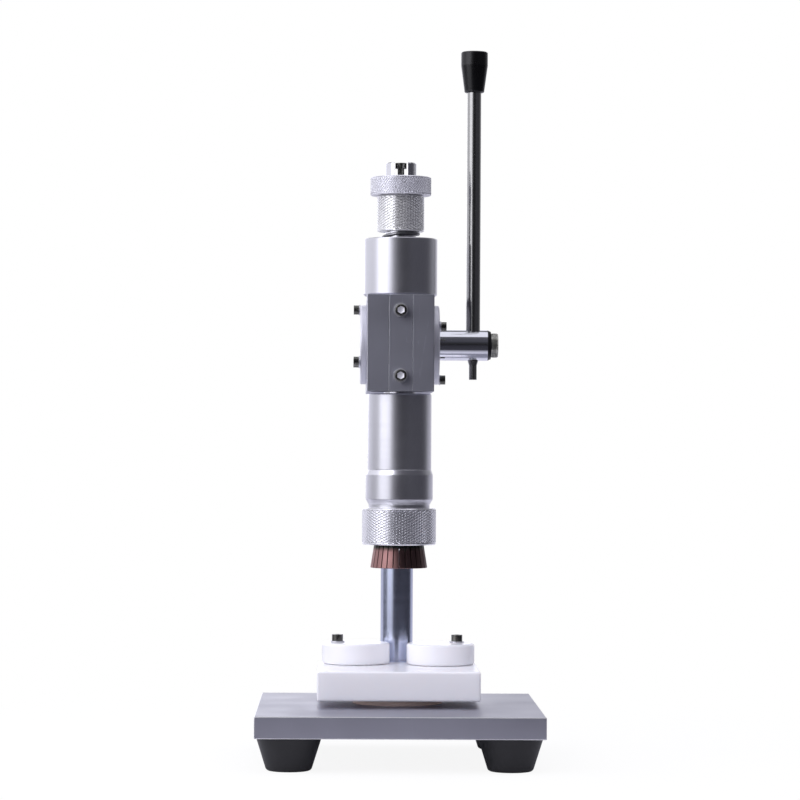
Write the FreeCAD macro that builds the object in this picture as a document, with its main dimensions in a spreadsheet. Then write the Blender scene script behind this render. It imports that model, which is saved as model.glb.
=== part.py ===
"""Manual bench capping machine: a lever, rack and pinion press on a round column.

The origin is the middle of the base on the bench, +Z is up, and the operator stands at -Y.
Lengths are millimetres. The driving sizes are in SIZES and go to the sheet "Sizes"; every
other length is worked out from them and bound to the sheet by an expression.
"""
import FreeCAD, Part
import math
import os
from types import SimpleNamespace

import PartDesign
import Sketcher

# Driving sizes

SIZES = {
    # base plate and feet
    "base_width": 210.0,
    "base_depth": 210.0,
    "base_thick": 16.0,
    "base_chamfer": 0.4,
    "foot_height": 24.8,
    "foot_top_dia": 48.2,
    "foot_bottom_dia": 32.6,
    "foot_round": 3.0,
    "foot_inset": 24.6,
    "foot_recess_dia": 15.0,
    "foot_recess_deep": 12.0,
    # column
    "column_dia": 25.0,
    "column_height": 349.2,
    "column_sink": 3.0,
    "column_back": 80.0,
    "column_chamfer": 1.5,
    "column_thread_deep": 26.0,
    # bottle seat and its two round stops
    "seat_width": 121.5,
    "seat_depth": 101.0,
    "seat_thick": 22.0,
    "seat_back": 15.5,
    "seat_round": 1.6,
    "disc_dia": 68.0,
    "disc_thick": 5.2,
    "disc_back": 20.0,
    "stop_dia": 52.0,
    "stop_height": 16.0,
    "stop_between": 11.4,
    "stop_back": 51.0,
    "stop_throw": 14.2,
    "left_stop_turn": 0.0,
    "right_stop_turn": 26.0,
    "stop_round": 2.0,
    "stop_clearance": 0.2,
    # head block that slides on the column
    "head_lift": 235.2,
    "block_width": 50.0,
    "block_height": 72.0,
    "block_front": 30.0,
    "block_tail": 24.5,
    "block_edge": 0.3,
    "split_width": 3.0,
    "clamp_back": 18.0,
    "clamp_inset": 18.0,
    "strip_width": 18.0,
    "strip_deep": 8.0,
    "strip_screw_gap": 48.6,
    "key_width": 6.0,
    "key_length": 40.0,
    "key_bite": 1.8,
    # rack and pinion
    "gear_module": 1.0,
    "gear_teeth": 20,
    "pressure_angle": 20.0,
    "gear_backlash": 0.24,
    "gear_width": 25.2,
    "rack_teeth": 13,
    "rack_play": 0.25,
    "lever_swing": 60.0,
    # ram
    "ram_dia": 24.0,
    "ram_above": 18.0,
    "ram_grip": 10.0,
    # pinion shaft, its bushes and flanges
    "shaft_dia": 23.2,
    "journal_dia": 16.0,
    "bush_dia": 28.0,
    "bush_inset": 12.9,
    "right_bush_length": 10.5,
    "left_bush_length": 8.1,
    "shaft_washer_thick": 2.0,
    "flange_dia": 60.0,
    "flange_thick": 4.9,
    "flange_spigot": 1.5,
    "flange_hole_radius": 26.4,
    "hub_reach": 66.8,
    "hub_chamfer": 2.5,
    "hub_chamfer_drop": 1.2,
    "lever_socket_deep": 4.0,
    "knob_dia": 18.4,
    "knob_thick": 5.5,
    "knob_stem_dia": 8.0,
    # lever
    "lever_out": 55.9,
    "rod_dia": 10.6,
    "rod_neck_dia": 8.0,
    "rod_length": 184.9,
    "tail_dia": 5.9,
    "tail_length": 14.5,
    "tail_cone": 3.6,
    "grip_length": 30.8,
    "grip_dia": 20.4,
    "grip_low_dia": 15.2,
    "grip_taper": 20.5,
    "grip_bore_deep": 24.0,
    "grip_edge": 0.7,
    # spring housing and what stands above it
    "housing_dia": 55.5,
    "housing_height": 43.1,
    "housing_floor": 6.0,
    "housing_bore": 32.0,
    "housing_spigot_dia": 34.0,
    "housing_spigot": 6.0,
    "housing_chamfer": 1.2,
    "nut_gap": 5.4,
    "nut_dia": 35.4,
    "nut_height": 27.3,
    "lock_dia": 45.8,
    "lock_height": 13.8,
    "stub_dia": 23.4,
    "stub_reach": 10.8,
    "slot_width": 10.0,
    "slot_deep": 11.5,
    # closer below the block
    "closer_gap": 1.4,
    "tube_dia": 48.0,
    "tube_bore": 40.0,
    "tube_length": 57.2,
    "tube_roof": 10.0,
    "ring_dia": 50.5,
    "ring_height": 18.4,
    "ring_chamfer": 3.7,
    "ring_spigot": 11.6,
    "neck_dia": 45.8,
    "neck_cone": 4.0,
    "neck_length": 2.6,
    "thread_dia": 44.0,
    "thread_length": 10.9,
    "collet_nut_dia": 55.6,
    "collet_nut_height": 27.5,
    # collet and core
    "core_dia": 14.0,
    "core_thread": 15.5,
    "collet_dia": 34.0,
    "collet_reach": 17.4,
    "collet_flare_dia": 42.8,
    "collet_flare_angle": 9.1,
    "collet_length": 85.5,
    "collet_mouth_dia": 20.5,
    "collet_mouth_deep": 13.0,
    "collet_relief_dia": 25.0,
    "collet_slits": 28,
    "slit_width": 0.8,
    "slit_length": 55.0,
    "closing_clearance": 0.35,
    "holder_dia": 38.0,
    "holder_height": 13.7,
    "pad_dia": 19.0,
    "pad_thick": 5.0,
    "rod_pin_dia": 6.0,
    # springs
    "return_wire": 2.3,
    "return_dia": 29.3,
    "return_turns": 6.5,
    "crimp_wire": 3.2,
    "crimp_dia": 36.4,
    "crimp_turns": 3.5,
    # fasteners
    "foot_screw": 6.0,
    "foot_screw_length": 26.0,
    "column_bolt": 10.0,
    "column_bolt_length": 34.0,
    "seat_bolt": 8.0,
    "seat_bolt_length": 25.0,
    "stop_screw": 5.0,
    "stop_screw_length": 30.0,
    "strip_screw": 5.0,
    "strip_screw_length": 16.0,
    "clamp_screw": 6.0,
    "clamp_screw_length": 34.0,
    "flange_screw_count": 3,
    "flange_screw": 4.0,
    "flange_screw_length": 14.0,
    "shaft_screw": 6.0,
    "shaft_screw_length": 12.0,
    "shaft_screw_head": 3.0,
    "ejector_screw": 5.0,
    "ejector_screw_length": 13.0,
    "ejector_screw_head": 4.2,
    "washer_thick": 1.0,
    "head_room": 1.2,
    # clearances and small edges
    "running": 0.05,
    "sliding": 0.1,
    "loose": 0.3,
    "edge": 0.8,
}

DOCUMENT = FreeCAD.newDocument("CappingMachine")
SHEET = DOCUMENT.addObject("Spreadsheet::Sheet", "Sizes")
NODES = []


class Size:
    """A length that knows its value and the expression that gives it from the sheet."""

    def __init__(self, value, text):
        self.value = float(value)
        self.text = text

    def __add__(self, other):
        other = as_size(other)
        return Size(self.value + other.value, f"({self.text} + {other.text})")

    def __sub__(self, other):
        other = as_size(other)
        return Size(self.value - other.value, f"({self.text} - {other.text})")

    def __rsub__(self, other):
        return as_size(other) - self

    def __mul__(self, factor):
        factor = as_size(factor)
        return Size(self.value * factor.value, f"({self.text} * {factor.text})")

    def __truediv__(self, factor):
        factor = as_size(factor)
        return Size(self.value / factor.value, f"({self.text} / {factor.text})")

    def __neg__(self):
        return Size(-self.value, f"(0 - {self.text})")

    __radd__ = __add__
    __rmul__ = __mul__


def as_size(value):
    """Takes a size or a plain number and gives a size."""
    if isinstance(value, Size):
        return value
    return Size(value, str(float(value)))


def tangent(angle):
    """The tangent of an angle that the sheet holds in degrees."""
    return Size(math.tan(math.radians(angle.value)), f"tan({angle.text} * 1 deg)")


def sine(angle):
    """The sine of an angle that the sheet holds in degrees."""
    return Size(math.sin(math.radians(angle.value)), f"sin({angle.text} * 1 deg)")


def cosine(angle):
    """The cosine of an angle that the sheet holds in degrees."""
    return Size(math.cos(math.radians(angle.value)), f"cos({angle.text} * 1 deg)")


def fill_sheet():
    """Writes every driving size into its own cell and gives back the sizes by name."""
    found = {}
    for row, (name, value) in enumerate(SIZES.items(), start=1):
        cell = f"B{row}"
        SHEET.set(f"A{row}", name)
        SHEET.set(cell, str(value))
        SHEET.setAlias(cell, name)
        found[name] = Size(value, f"Sizes.{name}")
    DOCUMENT.recompute()
    return SimpleNamespace(**found)


D = fill_sheet()

# Levels, from the bench up

PLATE_TOP = D.foot_height + D.base_thick
COLUMN_FOOT = PLATE_TOP - D.column_sink
SEAT_BOTTOM = PLATE_TOP + D.disc_thick
SEAT_TOP = SEAT_BOTTOM + D.seat_thick
STOP_BOTTOM = SEAT_TOP + D.stop_clearance
STOP_TOP = STOP_BOTTOM + D.stop_height
BLOCK_BOTTOM = PLATE_TOP + D.head_lift
BLOCK_TOP = BLOCK_BOTTOM + D.block_height
SHAFT_LEVEL = BLOCK_BOTTOM + D.block_height / 2
HOUSING_TOP = BLOCK_TOP + D.housing_height
SPRING_FLOOR = BLOCK_TOP + D.housing_floor
NUT_BOTTOM = HOUSING_TOP + D.nut_gap
LOCK_BOTTOM = NUT_BOTTOM + D.nut_height
LOCK_TOP = LOCK_BOTTOM + D.lock_height
STUB_TOP = LOCK_TOP + D.stub_reach
TUBE_TOP = BLOCK_BOTTOM - D.closer_gap
TUBE_BOTTOM = TUBE_TOP - D.tube_length
RING_BOTTOM = TUBE_BOTTOM - D.ring_chamfer - D.ring_height
COLLET_NUT_TOP = RING_BOTTOM - D.neck_cone - D.neck_length
COLLET_NUT_BOTTOM = COLLET_NUT_TOP - D.collet_nut_height
COLLET_BOTTOM = COLLET_NUT_BOTTOM - D.collet_reach
COLLET_TOP = COLLET_BOTTOM + D.collet_length
CORE_BOTTOM = COLLET_TOP - D.core_thread
RAM_BOTTOM = TUBE_TOP - D.tube_roof
RAM_TOP = BLOCK_TOP + D.ram_above

# Rack and pinion places

PITCH_RADIUS = D.gear_module * D.gear_teeth / 2
RACK_TIP = D.ram_dia / 2 - 0.5
RACK_PITCH_LINE = RACK_TIP - D.gear_module
RACK_ROOT = RACK_PITCH_LINE - D.gear_module - D.rack_play
SHAFT_BACK = RACK_PITCH_LINE + PITCH_RADIUS
TOOTH_PITCH = D.gear_module * math.pi
RAM_TRAVEL = PITCH_RADIUS * D.lever_swing * (math.pi / 180)
CORE_TRAVEL = RAM_TRAVEL / 2
RAM_BORE = D.core_dia / 2 + D.sliding

# Turned helpers


def bind(thing, prop, value):
    """Sets a property of an object by the expression of a size."""
    thing.setExpression(prop, as_size(value).text)


TURNS = {
    "Z": FreeCAD.Rotation(FreeCAD.Vector(0, 0, 1), 0),
    "-Z": FreeCAD.Rotation(FreeCAD.Vector(1, 0, 0), 180),
    "X": FreeCAD.Rotation(FreeCAD.Vector(0, 1, 0), 90),
    "-X": FreeCAD.Rotation(FreeCAD.Vector(0, 1, 0), -90),
    "Y": FreeCAD.Rotation(FreeCAD.Vector(1, 0, 0), -90),
    "-Y": FreeCAD.Rotation(FreeCAD.Vector(1, 0, 0), 90),
}


def place(thing, at=(0, 0, 0), along="Z"):
    """Puts an object at a point, with its own +Z along the named main axis."""
    thing.Placement = FreeCAD.Placement(FreeCAD.Vector(0, 0, 0), TURNS[along])
    for axis, distance in zip("xyz", at):
        bind(thing, f"Placement.Base.{axis}", distance)
    return thing


def node(thing, label):
    """Names a finished sub-part and puts it on the list of files to write."""
    thing.Label = label
    NODES.append(thing)
    return thing


def cylinder(name, radius, height, at=(0, 0, 0), along="Z"):
    """A plain cylinder that rises from a point along a main axis."""
    thing = DOCUMENT.addObject("Part::Cylinder", name)
    bind(thing, "Radius", radius)
    bind(thing, "Height", height)
    return place(thing, at, along)


def box(name, low, high):
    """A box between two corners, in the object's own frame."""
    thing = DOCUMENT.addObject("Part::Box", name)
    for prop, first, last in zip(("Length", "Width", "Height"), low, high):
        bind(thing, prop, as_size(last) - first)
    return place(thing, low)


def fused(name, things):
    """Several solids joined into one."""
    thing = DOCUMENT.addObject("Part::MultiFuse", name)
    thing.Shapes = things
    return thing


def cut(name, base, tools):
    """A solid with one or more others taken out of it."""
    thing = DOCUMENT.addObject("Part::Cut", name)
    thing.Base = base
    thing.Tool = tools[0] if len(tools) == 1 else fused(name + "Tools", tools)
    return thing


def group(label, things):
    """Separate solids that share one file."""
    thing = DOCUMENT.addObject("Part::Compound", label)
    thing.Links = things
    return node(thing, label)


def new_body(name):
    """An empty body for sketch based features."""
    return DOCUMENT.addObject("PartDesign::Body", name)


def origin_part(body, role):
    """One of a body's own origin planes or axes, found by its role."""
    for feature in body.Origin.OriginFeatures:
        if feature.Role == role:
            return feature
    raise ValueError(f"{body.Name} has no {role}")


def new_sketch(body, name, plane):
    """A sketch on one of the body's origin planes."""
    sketch = body.newObject("Sketcher::SketchObject", name)
    sketch.AttachmentSupport = [(origin_part(body, plane), "")]
    sketch.MapMode = "FlatFace"
    return sketch


def pin_point(sketch, geometry, end, across, up):
    """Ties a point of the sketch to its distances from the sketch's origin."""
    for kind, axis, distance in (("DistanceX", -2, across), ("DistanceY", -1, up)):
        distance = as_size(distance)
        if abs(distance.value) < 1e-9:
            sketch.addConstraint(Sketcher.Constraint("PointOnObject", geometry, end, axis))
            continue
        ends = (-1, 1, geometry, end)
        if distance.value < 0:
            ends = (geometry, end, -1, 1)
            distance = -distance
        index = sketch.addConstraint(Sketcher.Constraint(kind, *ends, distance.value))
        bind(sketch, f"Constraints[{index}]", distance)


def draw_outline(sketch, points):
    """A closed outline of straight lines through points given as pairs of sizes."""
    corners = [FreeCAD.Vector(as_size(across).value, as_size(up).value, 0) for across, up in points]
    count = len(corners)
    first = sketch.GeometryCount
    for number in range(count):
        line = Part.LineSegment(corners[number], corners[(number + 1) % count])
        sketch.addGeometry(line, False)
    for number in range(count):
        following = first + (number + 1) % count
        sketch.addConstraint(Sketcher.Constraint("Coincident", first + number, 2, following, 1))
    for number, (across, up) in enumerate(points):
        pin_point(sketch, first + number, 1, across, up)


def draw_circle(sketch, radius, across=0, up=0):
    """A circle at a point of the sketch."""
    centre = FreeCAD.Vector(as_size(across).value, as_size(up).value, 0)
    circle = Part.Circle(centre, FreeCAD.Vector(0, 0, 1), as_size(radius).value)
    index = sketch.addGeometry(circle, False)
    pin_point(sketch, index, 3, across, up)
    size = sketch.addConstraint(Sketcher.Constraint("Radius", index, as_size(radius).value))
    bind(sketch, f"Constraints[{size}]", radius)


def draw_rectangle(sketch, low, high):
    """A rectangle between two corners of the sketch."""
    draw_outline(sketch, [low, (high[0], low[1]), high, (low[0], high[1])])


def turned(name, outline):
    """A body of revolution about its own Z axis, from (radius, height) pairs."""
    body = new_body(name)
    sketch = new_sketch(body, name + "Outline", "XZ_Plane")
    draw_outline(sketch, outline)
    turn = body.newObject("PartDesign::Revolution", name + "Turn")
    turn.Profile = sketch
    turn.ReferenceAxis = (sketch, ["V_Axis"])
    turn.Angle = 360
    body.Tip = turn
    return body


def pad(body, sketch, height, name):
    """A pad of a sketch towards its own normal."""
    feature = body.newObject("PartDesign::Pad", name)
    feature.Profile = sketch
    bind(feature, "Length", height)
    body.Tip = feature
    return feature


def pocket(body, sketch, name, depth=None, both_sides=False):
    """A pocket of a sketch: through all when it has no depth, else against the normal."""
    feature = body.newObject("PartDesign::Pocket", name)
    feature.Profile = sketch
    if both_sides:
        feature.SideType = "Symmetric"
    if depth is None:
        feature.Type = "ThroughAll"
    else:
        bind(feature, "Length", depth)
    body.Tip = feature
    return feature


def edges_where(feature, test):
    """The names of a feature's edges that pass a test."""
    DOCUMENT.recompute()
    names = []
    for number, edge in enumerate(feature.Shape.Edges, start=1):
        if test(edge):
            names.append(f"Edge{number}")
    return names


def soften(body, kind, prop, size, test, name):
    """A fillet or chamfer of the edges of the body's last feature that pass a test."""
    before = body.Tip
    feature = body.newObject(f"PartDesign::{kind}", name)
    feature.Base = (before, edges_where(before, test))
    bind(feature, prop, size)
    body.Tip = feature
    return feature


def is_ring(edge, radius, height=None):
    """Whether an edge is a full circle of a radius, at a height where one is given."""
    curve = edge.Curve
    if not isinstance(curve, Part.Circle) or abs(curve.Radius - as_size(radius).value) > 1e-6:
        return False
    return height is None or abs(curve.Center.z - as_size(height).value) < 1e-6


def polar(body, original, count, name):
    """Repeats a feature round the body's own Z axis."""
    pattern = body.newObject("PartDesign::PolarPattern", name)
    pattern.Originals = [original]
    pattern.Axis = (origin_part(body, "Z_Axis"), [""])
    pattern.Angle = 360
    bind(pattern, "Occurrences", count)
    body.Tip = pattern
    return pattern


def cap_screw(name, thread, length, at, along, head=None):
    """A socket head cap screw whose head stands on the given point, towards an axis."""
    head_height = thread if head is None else head
    head_radius = thread * 0.75 + 0.5
    head_body = cylinder(name + "Head", head_radius, head_height)
    shank = cylinder(name + "Shank", thread / 2, length, (0, 0, -length))
    socket = DOCUMENT.addObject("Part::Prism", name + "Socket")
    socket.Polygon = 6
    bind(socket, "Circumradius", thread * 0.46)
    bind(socket, "Height", head_height / 2)
    place(socket, (0, 0, head_height / 2))
    screw = cut(name, fused(name + "Blank", [head_body, shank]), [socket])
    return place(screw, at, along)


def washer(name, thread, outer, at, along, thick=D.washer_thick):
    """A flat washer that rises from a point along a main axis."""
    disc = cylinder(name + "Disc", outer, thick)
    hole = cylinder(name + "Hole", thread / 2 + D.sliding, thick)
    return place(cut(name, disc, [hole]), at, along)


def washer_radius(thread):
    """The outer radius of a washer for a thread."""
    return thread + 0.4


# Base, feet and column

FOOT_PLACES = [
    (side * (D.base_width / 2 - D.foot_inset), depth * (D.base_depth / 2 - D.foot_inset))
    for side in (-1, 1)
    for depth in (-1, 1)
]
SEAT_BOLT_RECESS = D.seat_bolt + D.edge


def make_base_plate():
    """The square plate with its column socket, seat bolt hole and four foot threads."""
    body = new_body("BasePlate")
    outline = new_sketch(body, "BasePlateOutline", "XY_Plane")
    half_width = D.base_width / 2
    half_depth = D.base_depth / 2
    draw_rectangle(outline, (-half_width, -half_depth), (half_width, half_depth))
    slab = pad(body, outline, D.base_thick, "BasePlateSlab")
    top = D.base_thick.value
    soften(body, "Chamfer", "Size", D.base_chamfer, lambda edge: edge.BoundBox.ZLength < 1e-6
           and (edge.BoundBox.ZMin > top - 1e-6 or edge.BoundBox.ZMin < 1e-6), "BasePlateEdges")
    through = new_sketch(body, "BasePlateHoles", "XY_Plane")
    draw_circle(through, D.column_bolt / 2 + D.loose, 0, D.column_back)
    draw_circle(through, D.seat_bolt / 2 + D.loose, 0, D.disc_back)
    pocket(body, through, "BasePlateDrilling", both_sides=True)
    threads = new_sketch(body, "FootThreadOutline", "XY_Plane")
    for across, back in FOOT_PLACES:
        draw_circle(threads, D.foot_screw / 2, across, back)
    tapped = pocket(body, threads, "FootThreads", D.base_thick * 0.85)
    tapped.Reversed = True
    socket = new_sketch(body, "ColumnSocketOutline", "XY_Plane")
    bind(socket, "AttachmentOffset.Base.z", D.base_thick)
    draw_circle(socket, D.column_dia / 2, 0, D.column_back)
    pocket(body, socket, "ColumnSocket", D.column_sink)
    recess = new_sketch(body, "SeatBoltRecessOutline", "XY_Plane")
    draw_circle(recess, D.seat_bolt * 0.75 + D.head_room, 0, D.disc_back)
    sunk = pocket(body, recess, "SeatBoltRecess", SEAT_BOLT_RECESS)
    sunk.Reversed = True
    place(body, (0, 0, D.foot_height))
    return node(body, "base_plate")


def make_feet():
    """Four tapered rubber feet, each with a recess for its screw."""
    feet = []
    screws = []
    washers = []
    low = D.foot_bottom_dia / 2
    for number, (across, back) in enumerate(FOOT_PLACES, start=1):
        recess = D.foot_recess_dia / 2
        hole = D.foot_screw / 2 + D.loose
        foot = turned(f"Foot{number}", [
            (recess, 0), (low, 0), (D.foot_top_dia / 2, D.foot_height), (hole, D.foot_height),
            (hole, D.foot_recess_deep), (recess, D.foot_recess_deep)])
        soften(foot, "Fillet", "Radius", D.foot_round,
               lambda edge: is_ring(edge, low, 0), f"Foot{number}Round")
        feet.append(place(foot, (across, back, 0)))
        seat = D.foot_recess_deep - D.washer_thick
        washers.append(washer(f"FootWasher{number}", D.foot_screw, washer_radius(D.foot_screw),
                              (across, back, seat), "Z"))
        screws.append(cap_screw(f"FootScrew{number}", D.foot_screw, D.foot_screw_length,
                                (across, back, seat), "-Z"))
    group("rubber_feet", feet)
    group("foot_washers", washers)
    group("foot_screws", screws)


def make_column():
    """The round column, its bolt from below and the bolt's washer."""
    radius = D.column_dia / 2
    length = D.column_height + D.column_sink
    chamfer = D.column_chamfer
    hole = D.column_bolt / 2
    column = turned("Column", [
        (hole, 0), (radius, 0), (radius, length - chamfer), (radius - chamfer, length),
        (0, length), (0, D.column_thread_deep), (hole, D.column_thread_deep)])
    node(place(column, (0, D.column_back, COLUMN_FOOT)), "column")
    under = D.foot_height - D.washer_thick * 2
    node(washer("ColumnWasher", D.column_bolt, washer_radius(D.column_bolt),
                (0, D.column_back, under), "Z", D.washer_thick * 2), "column_washer")
    node(cap_screw("ColumnBolt", D.column_bolt, D.column_bolt_length,
                   (0, D.column_back, under), "-Z"), "column_bolt")


# Bottle seat and stops

STOP_ACROSS = D.stop_dia / 2 + D.stop_between / 2
PIVOT_ACROSS = STOP_ACROSS + D.stop_throw


def make_seat():
    """The nylon seat on its spacer disc, with the bolt that holds both from below."""
    disc = cylinder("SeatDiscBlank", D.disc_dia / 2, D.disc_thick)
    hole = cylinder("SeatDiscHole", D.seat_bolt / 2 + D.loose, D.disc_thick)
    node(place(cut("SeatDisc", disc, [hole]), (0, D.disc_back, PLATE_TOP)), "seat_disc")
    body = new_body("BottleSeat")
    outline = new_sketch(body, "BottleSeatOutline", "XY_Plane")
    half_width = D.seat_width / 2
    half_depth = D.seat_depth / 2
    draw_rectangle(outline, (-half_width, D.seat_back - half_depth),
                   (half_width, D.seat_back + half_depth))
    pad(body, outline, D.seat_thick, "BottleSeatBlock")
    soften(body, "Fillet", "Radius", D.seat_round, lambda edge: True, "BottleSeatRound")
    bolt_hole = new_sketch(body, "SeatBoltHole", "XY_Plane")
    draw_circle(bolt_hole, D.seat_bolt / 2, 0, D.disc_back)
    bored = pocket(body, bolt_hole, "SeatBoltThread", D.seat_thick * 0.6)
    bored.Reversed = True
    stop_holes = new_sketch(body, "StopScrewHoles", "XY_Plane")
    bind(stop_holes, "AttachmentOffset.Base.z", D.seat_thick)
    for side in (-1, 1):
        draw_circle(stop_holes, D.stop_screw / 2, side * PIVOT_ACROSS, D.stop_back)
    pocket(body, stop_holes, "StopScrewThreads", D.seat_thick * 0.75)
    node(place(body, (0, 0, SEAT_BOTTOM)), "bottle_seat")
    under = D.foot_height + SEAT_BOLT_RECESS
    node(cap_screw("SeatBolt", D.seat_bolt, D.seat_bolt_length,
                   (0, D.disc_back, under), "-Z"), "seat_bolt")


def make_stops():
    """Two round nylon stops that swing about off-centre screws, with those screws."""
    screws = []
    washers = []
    for side, name, turn in ((-1, "left_stop", D.left_stop_turn),
                             (1, "right_stop", D.right_stop_turn)):
        body = new_body(name.title().replace("_", ""))
        outline = new_sketch(body, name + "_outline", "XY_Plane")
        draw_circle(outline, D.stop_dia / 2, -side * D.stop_throw * cosine(turn),
                    -D.stop_throw * sine(turn))
        draw_circle(outline, D.stop_screw / 2 + D.sliding)
        pad(body, outline, D.stop_height, name + "_disc")
        soften(body, "Fillet", "Radius", D.stop_round,
               lambda edge: is_ring(edge, D.stop_dia / 2), name + "_round")
        pivot = (side * PIVOT_ACROSS, D.stop_back)
        node(place(body, (*pivot, STOP_BOTTOM)), name)
        washer_level = STOP_TOP + D.sliding
        washers.append(washer(name + "_washer", D.stop_screw, washer_radius(D.stop_screw),
                              (*pivot, washer_level), "Z"))
        screws.append(cap_screw(name + "_screw", D.stop_screw, D.stop_screw_length,
                                (*pivot, washer_level + D.washer_thick), "Z"))
    group("stop_washers", washers)
    group("stop_screws", screws)


# Head block and what is fixed to it

BLOCK_REAR = D.column_back + D.block_tail
CLAMP_BACK = D.column_back + D.clamp_back
CLAMP_LEVELS = (BLOCK_BOTTOM + D.clamp_inset, BLOCK_TOP - D.clamp_inset)
CLAMP_SEAT = D.block_width / 2 - D.clamp_screw - D.edge
STRIP_BACK = -D.block_front + D.strip_deep
STRIP_LEVELS = (SHAFT_LEVEL - D.strip_screw_gap / 2, SHAFT_LEVEL + D.strip_screw_gap / 2)
KEY_LEVELS = (SHAFT_LEVEL - D.key_length / 2, SHAFT_LEVEL + D.key_length / 2)
KEY_FRONT = -D.ram_dia / 2 + D.key_bite
BUSH_RADIUS = D.bush_dia / 2
GEAR_HALF = D.gear_width / 2


def flange_screw_places(side):
    """The (back, level) places of a flange's screws, from the top on the left, else below."""
    places = []
    first = math.pi / 2 if side == "left" else -math.pi / 2
    count = int(SIZES["flange_screw_count"])
    for number in range(count):
        turn = first + 2 * math.pi * number / count
        places.append((SHAFT_BACK + D.flange_hole_radius * math.cos(turn),
                       SHAFT_LEVEL + D.flange_hole_radius * math.sin(turn)))
    return places


def make_head_block():
    """The block: ram bore, column clamp, cross bore for the shaft and strip slot."""
    half = D.block_width / 2
    low = BLOCK_BOTTOM
    high = BLOCK_TOP
    blank = box("BlockBlank", (-half, -D.block_front, low), (half, BLOCK_REAR, high))
    tall = D.block_height
    tools = [
        cylinder("RamBore", D.ram_dia / 2 + D.running, tall, (0, 0, low)),
        cylinder("ColumnBore", D.column_dia / 2 + D.running, tall, (0, D.column_back, low)),
        box("Split", (-D.split_width / 2, D.column_back, low),
            (D.split_width / 2, BLOCK_REAR, high)),
        cylinder("HousingSeat", D.housing_spigot_dia / 2, D.housing_spigot,
                 (0, 0, high - D.housing_spigot)),
        cylinder("CrossBore", D.gear_module * (D.gear_teeth / 2 + 1) + D.loose, D.block_width,
                 (-half, SHAFT_BACK, SHAFT_LEVEL), "X"),
        cylinder("RightBushSeat", BUSH_RADIUS, half - D.bush_inset,
                 (D.bush_inset, SHAFT_BACK, SHAFT_LEVEL), "X"),
        cylinder("LeftBushSeat", BUSH_RADIUS, half - D.bush_inset,
                 (-D.bush_inset, SHAFT_BACK, SHAFT_LEVEL), "-X"),
        box("StripSlot", (-D.strip_width / 2, -D.block_front, low),
            (D.strip_width / 2, STRIP_BACK, high)),
        box("KeyWindow", (-D.key_width / 2 - D.running, STRIP_BACK, KEY_LEVELS[0] - D.running),
            (D.key_width / 2 + D.running, KEY_FRONT, KEY_LEVELS[1] + D.running)),
    ]
    for number, level in enumerate(STRIP_LEVELS, start=1):
        tools.append(cylinder(f"StripThread{number}", D.strip_screw / 2,
                              D.strip_screw_length - D.strip_deep,
                              (0, STRIP_BACK, level), "Y"))
    for number, level in enumerate(CLAMP_LEVELS, start=1):
        tools.append(cylinder(f"ClampHole{number}", D.clamp_screw / 2, D.clamp_screw_length,
                              (CLAMP_SEAT, CLAMP_BACK, level), "-X"))
        tools.append(cylinder(f"ClampEar{number}", D.clamp_screw / 2 + D.sliding, CLAMP_SEAT,
                              (0, CLAMP_BACK, level), "X"))
        tools.append(cylinder(f"ClampRecess{number}", D.clamp_screw * 0.75 + 0.7,
                              half - CLAMP_SEAT, (CLAMP_SEAT, CLAMP_BACK, level), "X"))
    depth = D.flange_screw_length - D.flange_thick
    for side, sign, along in (("left", -1, "X"), ("right", 1, "-X")):
        for number, (back, level) in enumerate(flange_screw_places(side), start=1):
            tools.append(cylinder(f"FlangeThread_{side}{number}", D.flange_screw / 2, depth,
                                  (sign * half, back, level), along))
    bored = cut("BlockBored", blank, tools)
    DOCUMENT.recompute()
    edges = []
    for number, edge in enumerate(bored.Shape.Edges, start=1):
        size = edge.BoundBox
        corner = size.XLength < 1e-6 and abs(abs(size.XMin) - half.value) < 1e-6
        if corner and size.YLength < 1e-6 and size.ZLength > tall.value - 1e-6:
            edges.append((number, D.block_edge.value, D.block_edge.value))
    block = DOCUMENT.addObject("Part::Chamfer", "HeadBlock")
    block.Base = bored
    block.Edges = edges
    return node(block, "head_block")


def make_guide_strip():
    """The strip let into the block's front, whose key runs in the ram's keyway."""
    play = D.running / 2
    half = D.strip_width / 2 - play
    front = -D.block_front
    edge = D.block_edge
    strip = new_body("StripBar")
    outline = new_sketch(strip, "StripOutline", "XY_Plane")
    draw_outline(outline, [
        (-half, STRIP_BACK), (-half, front + edge), (-half + edge, front), (half - edge, front),
        (half, front + edge), (half, STRIP_BACK)])
    pad(strip, outline, D.block_height, "StripLength")
    place(strip, (0, 0, BLOCK_BOTTOM))
    key = box("StripKey", (-D.key_width / 2, STRIP_BACK, KEY_LEVELS[0]),
              (D.key_width / 2, KEY_FRONT, KEY_LEVELS[1]))
    holes = []
    screws = []
    washers = []
    seat = -D.block_front - D.washer_thick
    for number, level in enumerate(STRIP_LEVELS, start=1):
        holes.append(cylinder(f"StripHole{number}", D.strip_screw / 2 + D.sliding,
                              D.strip_deep, (0, -D.block_front, level), "Y"))
        washers.append(washer(f"StripWasher{number}", D.strip_screw,
                              washer_radius(D.strip_screw), (0, -D.block_front, level), "-Y"))
        screws.append(cap_screw(f"StripScrew{number}", D.strip_screw,
                                D.strip_screw_length + D.washer_thick,
                                (0, seat, level), "-Y"))
    node(cut("GuideStrip", fused("StripBlank", [strip, key]), holes), "guide_strip")
    group("strip_washers", washers)
    group("strip_screws", screws)


def make_clamp_screws():
    """The two screws that pull the split end of the block onto the column."""
    screws = []
    for number, level in enumerate(CLAMP_LEVELS, start=1):
        screws.append(cap_screw(f"ClampScrew{number}", D.clamp_screw, D.clamp_screw_length,
                                (CLAMP_SEAT, CLAMP_BACK, level), "X"))
    group("clamp_screws", screws)


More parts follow.
